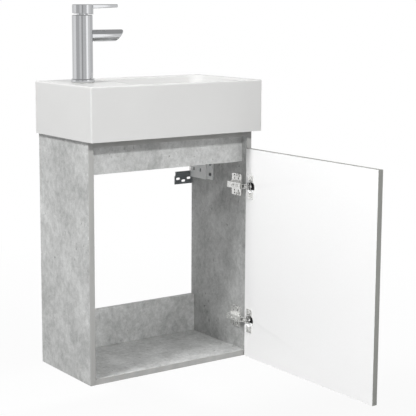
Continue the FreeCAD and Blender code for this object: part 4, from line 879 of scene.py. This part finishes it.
def tube_ring(x):
    return [Vector((x, TAP.y + SPOUT * math.cos(angle), SPOUT_HEIGHT + SPOUT * math.sin(angle)))
            for angle in round_angles]


def rounded_tip(share):
    """A ring of the rounding between the tube (share 0) and the sloping end (share 1)."""
    ring = []
    for angle in round_angles:
        side = Vector((0, SPOUT * math.cos(angle), SPOUT * math.sin(angle)))
        corner = tip_middle + side + Vector((side.z * slope_back, 0, 0))
        reach = TIP_SOFT / math.tan((math.pi / 2 - SPOUT_SLOPE * math.sin(angle)) / 2)
        on_tube = corner - Vector((reach, 0, 0))
        on_end = corner + (tip_middle - corner).normalized() * reach
        ring.append(on_tube.lerp(corner, share).lerp(corner.lerp(on_end, share), share))
    return ring


def hole_ring(depth):
    middle = tip_middle - tip_axis * depth
    return [middle + tip_side * AERATOR_HOLE * math.cos(angle) + tip_up * AERATOR_HOLE * math.sin(angle)
            for angle in round_angles]


spout_rings = [tube_ring(TAP.x)]
spout_rings += [rounded_tip(step / TIP_STEPS) for step in range(TIP_STEPS + 1)]
spout_rings += [hole_ring(0), hole_ring(AERATOR_DEPTH)]
spout = to_mesh(loft(spout_rings, False), "spout")
print("spout of", len(spout_rings), "rings")

# %% Column and spout in one
CREASE = 0.0011
CREASE_ANGLE = math.radians(40)
tap_body = chromed("tap_body", combined("tap_body_chromed", column, spout, "UNION"))
soften = tap_body.modifiers.new("soften", "BEVEL")
soften.width = CREASE
soften.segments = 3
soften.limit_method = "ANGLE"
soften.angle_limit = CREASE_ANGLE
soften.harden_normals = False
print("tap body with", len(tap_body.data.polygons), "faces")

# %% [markdown]
# The cap is a thin hood whose lower edge slopes up to the rear, so its bottom ring is not level:
# each point's height follows its place along the slope. A cut with a tilted plane would do the
# same, but would leave a ragged row of faces for the chrome to show.

# %% Cap
cap_low, cap_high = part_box("lever_cap")
CAP_RADIUS = (cap_high.y - cap_low.y) / 2
CAP_WALL = 0.0025
CAP_SOFT = 0.00125
CAP_REAR_RISE = 0.0029
CAP_BEVEL = 0.0004
CAP_BESIDE = 0.0005
CAP_RIM = 0.002
CAP_MIDDLE = 2e-5
CAP_WELD = 6e-6
cap_centre = Vector((cap_low.x + CAP_RADIUS, TAP.y))
cap_shoulder = cap_high.z - CAP_SOFT
cap_ceiling = cap_high.z - CAP_WALL


def cap_ring(radius, z):
    return round_rings([(radius, z)], cap_centre, STEPS)[0]


def sloping_ring(radius, lift=0.0):
    ring = cap_ring(radius, cap_low.z + lift)
    for point in ring:
        point.z += CAP_REAR_RISE * (cap_centre.x + CAP_RADIUS - point.x) / (2 * CAP_RADIUS)
    return ring


cap_rings = [sloping_ring(CAP_RADIUS - CAP_BEVEL), sloping_ring(CAP_RADIUS, CAP_BEVEL)]
cap_rings += [cap_ring(CAP_RADIUS, cap_shoulder - CAP_BESIDE)]
cap_rings += [cap_ring(CAP_RADIUS - CAP_SOFT + x, cap_shoulder + z)
              for x, z in arc((0, 0), CAP_SOFT, 0, 90, 5)]
cap_rings += [cap_ring(CAP_RADIUS - CAP_RIM, cap_high.z), cap_ring(CAP_MIDDLE, cap_high.z)]
cap_rings += [cap_ring(CAP_MIDDLE, cap_ceiling), cap_ring(CAP_RADIUS - CAP_WALL, cap_ceiling)]
cap_rings += [sloping_ring(CAP_RADIUS - CAP_WALL)]
cap_shell = loft(cap_rings, True)
bmesh.ops.remove_doubles(cap_shell, verts=cap_shell.verts, dist=CAP_WELD)
chromed("lever_cap", to_mesh(cap_shell, "lever_cap_chromed"))
print("cap radius", round(CAP_RADIUS * 1000, 1), "mm")

# %% [markdown]
# The lever is a flat bar that grows thinner towards a round end. It is lofted through rounded
# cross-sections, which stand closer together where the end turns in.

# %% Lever
lever_low, lever_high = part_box("lever")
LEVER_ROOT = cap_centre.x + CAP_RADIUS - CAP_WALL / 2
LEVER_THICK = 0.008
LEVER_THIN = 0.006
LEVER_SOFT = 0.0016
TIP_ROUND = 0.0059
ROOT_FLAT = 0.004
FULLEST_ROUND = 0.95
lever_half = (lever_high.y - lever_low.y) / 2
tip_start = lever_high.x - TIP_ROUND


def lever_ring(x):
    """A rounded cross-section of the lever, upright across its length."""
    share = (x - LEVER_ROOT) / (lever_high.x - LEVER_ROOT)
    thick = LEVER_THICK + (LEVER_THIN - LEVER_THICK) * share
    past = max(x - tip_start, 0)
    half = lever_half - TIP_ROUND + math.sqrt(max(TIP_ROUND ** 2 - past ** 2, 0))
    low = Vector((TAP.y - half, lever_high.z - thick))
    high = Vector((TAP.y + half, lever_high.z))
    flat = rounded_ring(low, high, min(LEVER_SOFT, half * FULLEST_ROUND), x)
    return [Vector((point.z, point.x, point.y)) for point in flat]


tip_places = [tip_start + TIP_ROUND * math.sin(math.radians(angle)) for angle in range(0, 91, 9)]
lever_rings = [lever_ring(x) for x in (LEVER_ROOT, LEVER_ROOT + ROOT_FLAT, *tip_places)]
chromed("lever", to_mesh(loft(lever_rings, False), "lever_chromed"))
print("lever", round((lever_high.x - LEVER_ROOT) * 1000), "mm long")

# %% [markdown]
# ## Basin waste
# The waste is a threaded brass tube, chromed, with a push plug that rises 7 mm. Its thread could be
# a true spiral, but fine parallel ridges look the same from any distance and stay closed.

# %% Waste body
waste_low, waste_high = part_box("waste_body")
BORE = 0.014
TAIL = 0.016
THREAD = 0.022
GROOVE = THREAD - 0.0009
PITCH = 0.0021
FIRST_RIDGE = 0.0005
LAST_RIDGE = 0.001
THREAD_LENGTH = 0.045
SMOOTH_LENGTH = 0.012
FLANGE = 0.0315
FLANGE_BEVEL = 0.0008
thread_top = BOWL_FLOOR - SEAT_DEPTH
thread_foot = thread_top - THREAD_LENGTH
waste_profile = [(BORE, waste_low.z), (TAIL, waste_low.z), (TAIL, thread_foot)]
ridge = thread_foot + FIRST_RIDGE
while ridge + PITCH < thread_top - SMOOTH_LENGTH:
    waste_profile += [(GROOVE, ridge), (THREAD, ridge + PITCH / 2)]
    ridge += PITCH
waste_profile += [(GROOVE, ridge), (THREAD, ridge + LAST_RIDGE), (THREAD, thread_top), (FLANGE, thread_top),
                  (FLANGE, waste_high.z - FLANGE_BEVEL), (FLANGE - FLANGE_BEVEL, waste_high.z),
                  (BORE, waste_high.z)]
turned("waste_body", waste_profile, DRAIN)
print("waste on a", round(2 * THREAD * 1000), "mm thread")

# %% Plug and back nut
plug_low, plug_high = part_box("waste_plug")
PLUG = (plug_high.x - plug_low.x) / 2
PLUG_THICK = 0.005
PLUG_ROUND = 0.002
PLUG_CROWN = 0.0001
CROWN_SHARE = 0.6
STEM = 0.005
STEM_BEVEL = 0.0005
plug_under = plug_high.z - PLUG_THICK
plug_profile = [(0, plug_low.z), (STEM - STEM_BEVEL, plug_low.z), (STEM, plug_low.z + STEM_BEVEL),
                (STEM, plug_under), (PLUG - PLUG_ROUND, plug_under), (PLUG, plug_under + PLUG_ROUND)]
plug_profile += [(PLUG - PLUG_ROUND + x, plug_high.z - PLUG_ROUND + z)
                 for x, z in arc((0, 0), PLUG_ROUND, 0, 80, 6)]
plug_profile += [(PLUG * CROWN_SHARE, plug_high.z - PLUG_CROWN), (0, plug_high.z)]
turned("waste_plug", plug_profile, DRAIN)
soft_copy("waste_nut", 0.0006, 0.005, [brass])
print("plug", round(2 * PLUG * 1000, 1), "mm across")

# %% [markdown]
# ## Screws
# The same cross-head screw holds the hinge plates, the cups and the hangers, and sets the hinge
# arms. A Geometry Nodes tree makes one head and one shank and puts them on points, so one drawing
# serves them all. Each point says which way its screw faces, how wide its head is and how long its
# shank is. The tree's result is kept as plain mesh, one for each moving group and finish.

# %% Screw tree and its inputs
HEAD_HEIGHT = 0.0015
SCREW_SIZES = {"Head height": HEAD_HEIGHT, "Slot share": 0.22, "Shank radius": 0.0019}
screw_tree = bpy.data.node_groups.new("cross_head_screws", "GeometryNodeTree")
sockets = screw_tree.interface
sockets.new_socket("Geometry", in_out="INPUT", socket_type="NodeSocketGeometry")
for label, value in SCREW_SIZES.items():
    sockets.new_socket(label, in_out="INPUT", socket_type="NodeSocketFloat").default_value = value
METAL_INPUT = sockets.new_socket("Metal", in_out="INPUT", socket_type="NodeSocketMaterial").identifier
sockets.new_socket("Geometry", in_out="OUTPUT", socket_type="NodeSocketGeometry")
net = Net(screw_tree)
inputs = net.node("NodeGroupInput", out=None)
given = {socket.name: Signal(net, socket) for socket in inputs.outputs if socket.name}
print("screw inputs", list(given))

# %% One head and one shank
HEAD_SIDES = 40
HEAD_TAPER = 0.84
SLOT_LENGTH = 1.25
SLOT_LIFT = 0.9
SHANK_SIDES = 20


def sized(x, y, z):
    return net.node("ShaderNodeCombineXYZ", None, {"X": x, "Y": y, "Z": z})


def slot_cutter(length, width):
    height = given["Head height"]
    bar = net.node("GeometryNodeMeshCube", None, {"Size": sized(length, width, height)})
    lift = sized(0.0, 0.0, height * SLOT_LIFT)
    return net.node("GeometryNodeTransform", None, {"Geometry": bar, "Translation": lift})


cone = {"Vertices": HEAD_SIDES, "Radius Top": HEAD_TAPER, "Radius Bottom": 1.0, "Depth": given["Head height"]}
head = net.node("GeometryNodeMeshCone", {"fill_type": "NGON"}, cone)
first_slot = slot_cutter(SLOT_LENGTH, given["Slot share"])
second_slot = slot_cutter(given["Slot share"], SLOT_LENGTH)
cross = net.node("GeometryNodeMeshBoolean", {"operation": "UNION"}, {1: first_slot})
net.tree.links.new(second_slot.socket, cross.socket.node.inputs[1])
cut_head = net.node("GeometryNodeMeshBoolean", {"operation": "DIFFERENCE"}, {0: head, 1: cross})
cylinder = {"Vertices": SHANK_SIDES, "Radius": given["Shank radius"], "Depth": 1.0}
rod = net.node("GeometryNodeMeshCylinder", {"fill_type": "NGON"}, cylinder)
shank = net.node("GeometryNodeTransform", None, {"Geometry": rod, "Translation": (0.0, 0.0, -0.5)})
print("a head with", HEAD_SIDES, "sides")

# %% Heads and shanks on points
def attribute(name, kind):
    return net.node("GeometryNodeInputNamedAttribute", {"data_type": kind}, {"Name": name})


def on_points(shape, turn, scale):
    spread_out = {"Points": given["Geometry"], "Instance": shape, "Rotation": turn, "Scale": scale}
    return net.node("GeometryNodeInstanceOnPoints", None, spread_out)


facing = net.node("FunctionNodeEulerToRotation", None, {"Euler": attribute("turn", "FLOAT_VECTOR")})
spun = net.node("FunctionNodeEulerToRotation", None, {"Euler": sized(0.0, 0.0, attribute("spin", "FLOAT"))})
turn = net.node("FunctionNodeRotateRotation", {"rotation_space": "LOCAL"},
                {"Rotation": facing, "Rotate By": spun})
head_radius = attribute("head", "FLOAT")
heads = on_points(cut_head, turn, sized(head_radius, head_radius, 1.0))
shanks = on_points(shank, turn, sized(1.0, 1.0, attribute("shank", "FLOAT")))
both = net.node("GeometryNodeJoinGeometry", None, {"Geometry": heads})
net.tree.links.new(shanks.socket, both.socket.node.inputs[0])
real = net.node("GeometryNodeRealizeInstances", None, {"Geometry": both})
plated = net.node("GeometryNodeSetMaterial", None, {"Geometry": real, "Material": given["Metal"]})
net.node("NodeGroupOutput", None, {0: plated}, out=None)
print("screw tree with", len(screw_tree.nodes), "nodes")

# %% [markdown]
# The engineered screws come in pairs, and the box of a pair says where its two screws stand and how
# large they are. Each slot is turned a little further than the last, as a fitter leaves them.

# %% Screws in their places
SPIN_STEP = 0.35
FRONT_SHANK = 0.5


def screw_points(node, facing):
    """Places of a pair of screws, their head radius and shank length, from the engineered pair.

    In a level pair the front screw has the shorter shank.
    """
    low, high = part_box(node)
    size = high - low
    radius = min(size.y, size.z) / 2
    middle = (low + high) / 2
    x = low.x + HEAD_HEIGHT / 2 if facing < 0 else high.x - HEAD_HEIGHT / 2
    length = size.x - HEAD_HEIGHT
    if size.z > size.y:
        return [((x, middle.y, z), radius, length, facing) for z in (low.z + radius, high.z - radius)]
    return [((x, y, middle.z), radius, length * share, facing)
            for y, share in ((low.y + radius, FRONT_SHANK), (high.y - radius, 1.0))]


def screw_set(name, pairs, metal, body):
    """All screws of one moving group and finish as a single plain mesh."""
    points = [point for node, facing in pairs for point in screw_points(node, facing)]
    mesh = bpy.data.meshes.new(name + "_points")
    mesh.from_pydata([point[0] for point in points], [], [])
    for label, kind in (("turn", "FLOAT_VECTOR"), ("spin", "FLOAT"), ("head", "FLOAT"), ("shank", "FLOAT")):
        mesh.attributes.new(label, kind, "POINT")
    for index, (_, radius, length, facing) in enumerate(points):
        mesh.attributes["turn"].data[index].vector = (0.0, facing * math.pi / 2, 0.0)
        mesh.attributes["spin"].data[index].value = SPIN_STEP * index
        mesh.attributes["head"].data[index].value = radius
        mesh.attributes["shank"].data[index].value = length
    carrier = bpy.data.objects.new(name + "_points", mesh)
    scene.collection.objects.link(carrier)
    modifier = carrier.modifiers.new("screws", "NODES")
    modifier.node_group = screw_tree
    modifier[METAL_INPUT] = metal
    plain = evaluated_mesh(carrier)
    bpy.data.objects.remove(carrier)
    plain.name = name
    plain.materials.clear()
    put(name, plain, [metal], body, [node for node, _ in pairs])
    return len(points)


levels = ("upper", "lower")
cabinet_pairs = [(f"{level}_{kind}_screws", -1) for level in levels for kind in ("plate", "arm")]
hanger_pairs = [("left_hanger_screws", 1), ("right_hanger_screws", -1)]
door_pairs = [(f"{level}_cup_screws", -1) for level in levels]
count = screw_set("cabinet_screws", cabinet_pairs, nickel, "cabinet")
count += screw_set("hanger_fixing_screws", hanger_pairs, dark_steel, "cabinet")
count += screw_set("door_screws", door_pairs, nickel, "door")
print(count, "cross-head screws")

# %% [markdown]
# ## Small engineered pieces
# Pins, dowels, cams, washers and the parts inside the tap keep their engineered shapes, which are
# right as they are. Each only needs its own finish in place of the plain one it came with.

# %% Finishes on the other pieces
PLAIN_PIECES = {
    "wooden_dowels": beech, "cam_bolts": zinc, "cam_locks": zinc,
    "waste_washer": rubber, "tap_gasket": ivory_plastic, "aerator": ivory_plastic,
    "cartridge": ivory_plastic, "cartridge_nut": chrome, "lever_carrier": nickel, "lever_pin": nickel,
    "tap_stud": zinc, "tap_clamp_pad": rubber, "tap_clamp_plate": zinc, "tap_stud_nut": brass,
    "upper_arm_pins": nickel, "lower_arm_pins": nickel, "upper_cup_pins": nickel, "lower_cup_pins": nickel,
}
for node, material in PLAIN_PIECES.items():
    for place in nodes[node].material_slots:
        place.material = material
shown = [node for node in nodes if not nodes[node].hide_render]
assert sorted(shown) == sorted(PLAIN_PIECES), set(shown) ^ set(PLAIN_PIECES)
print(len(shown), "engineered pieces shown as they are")
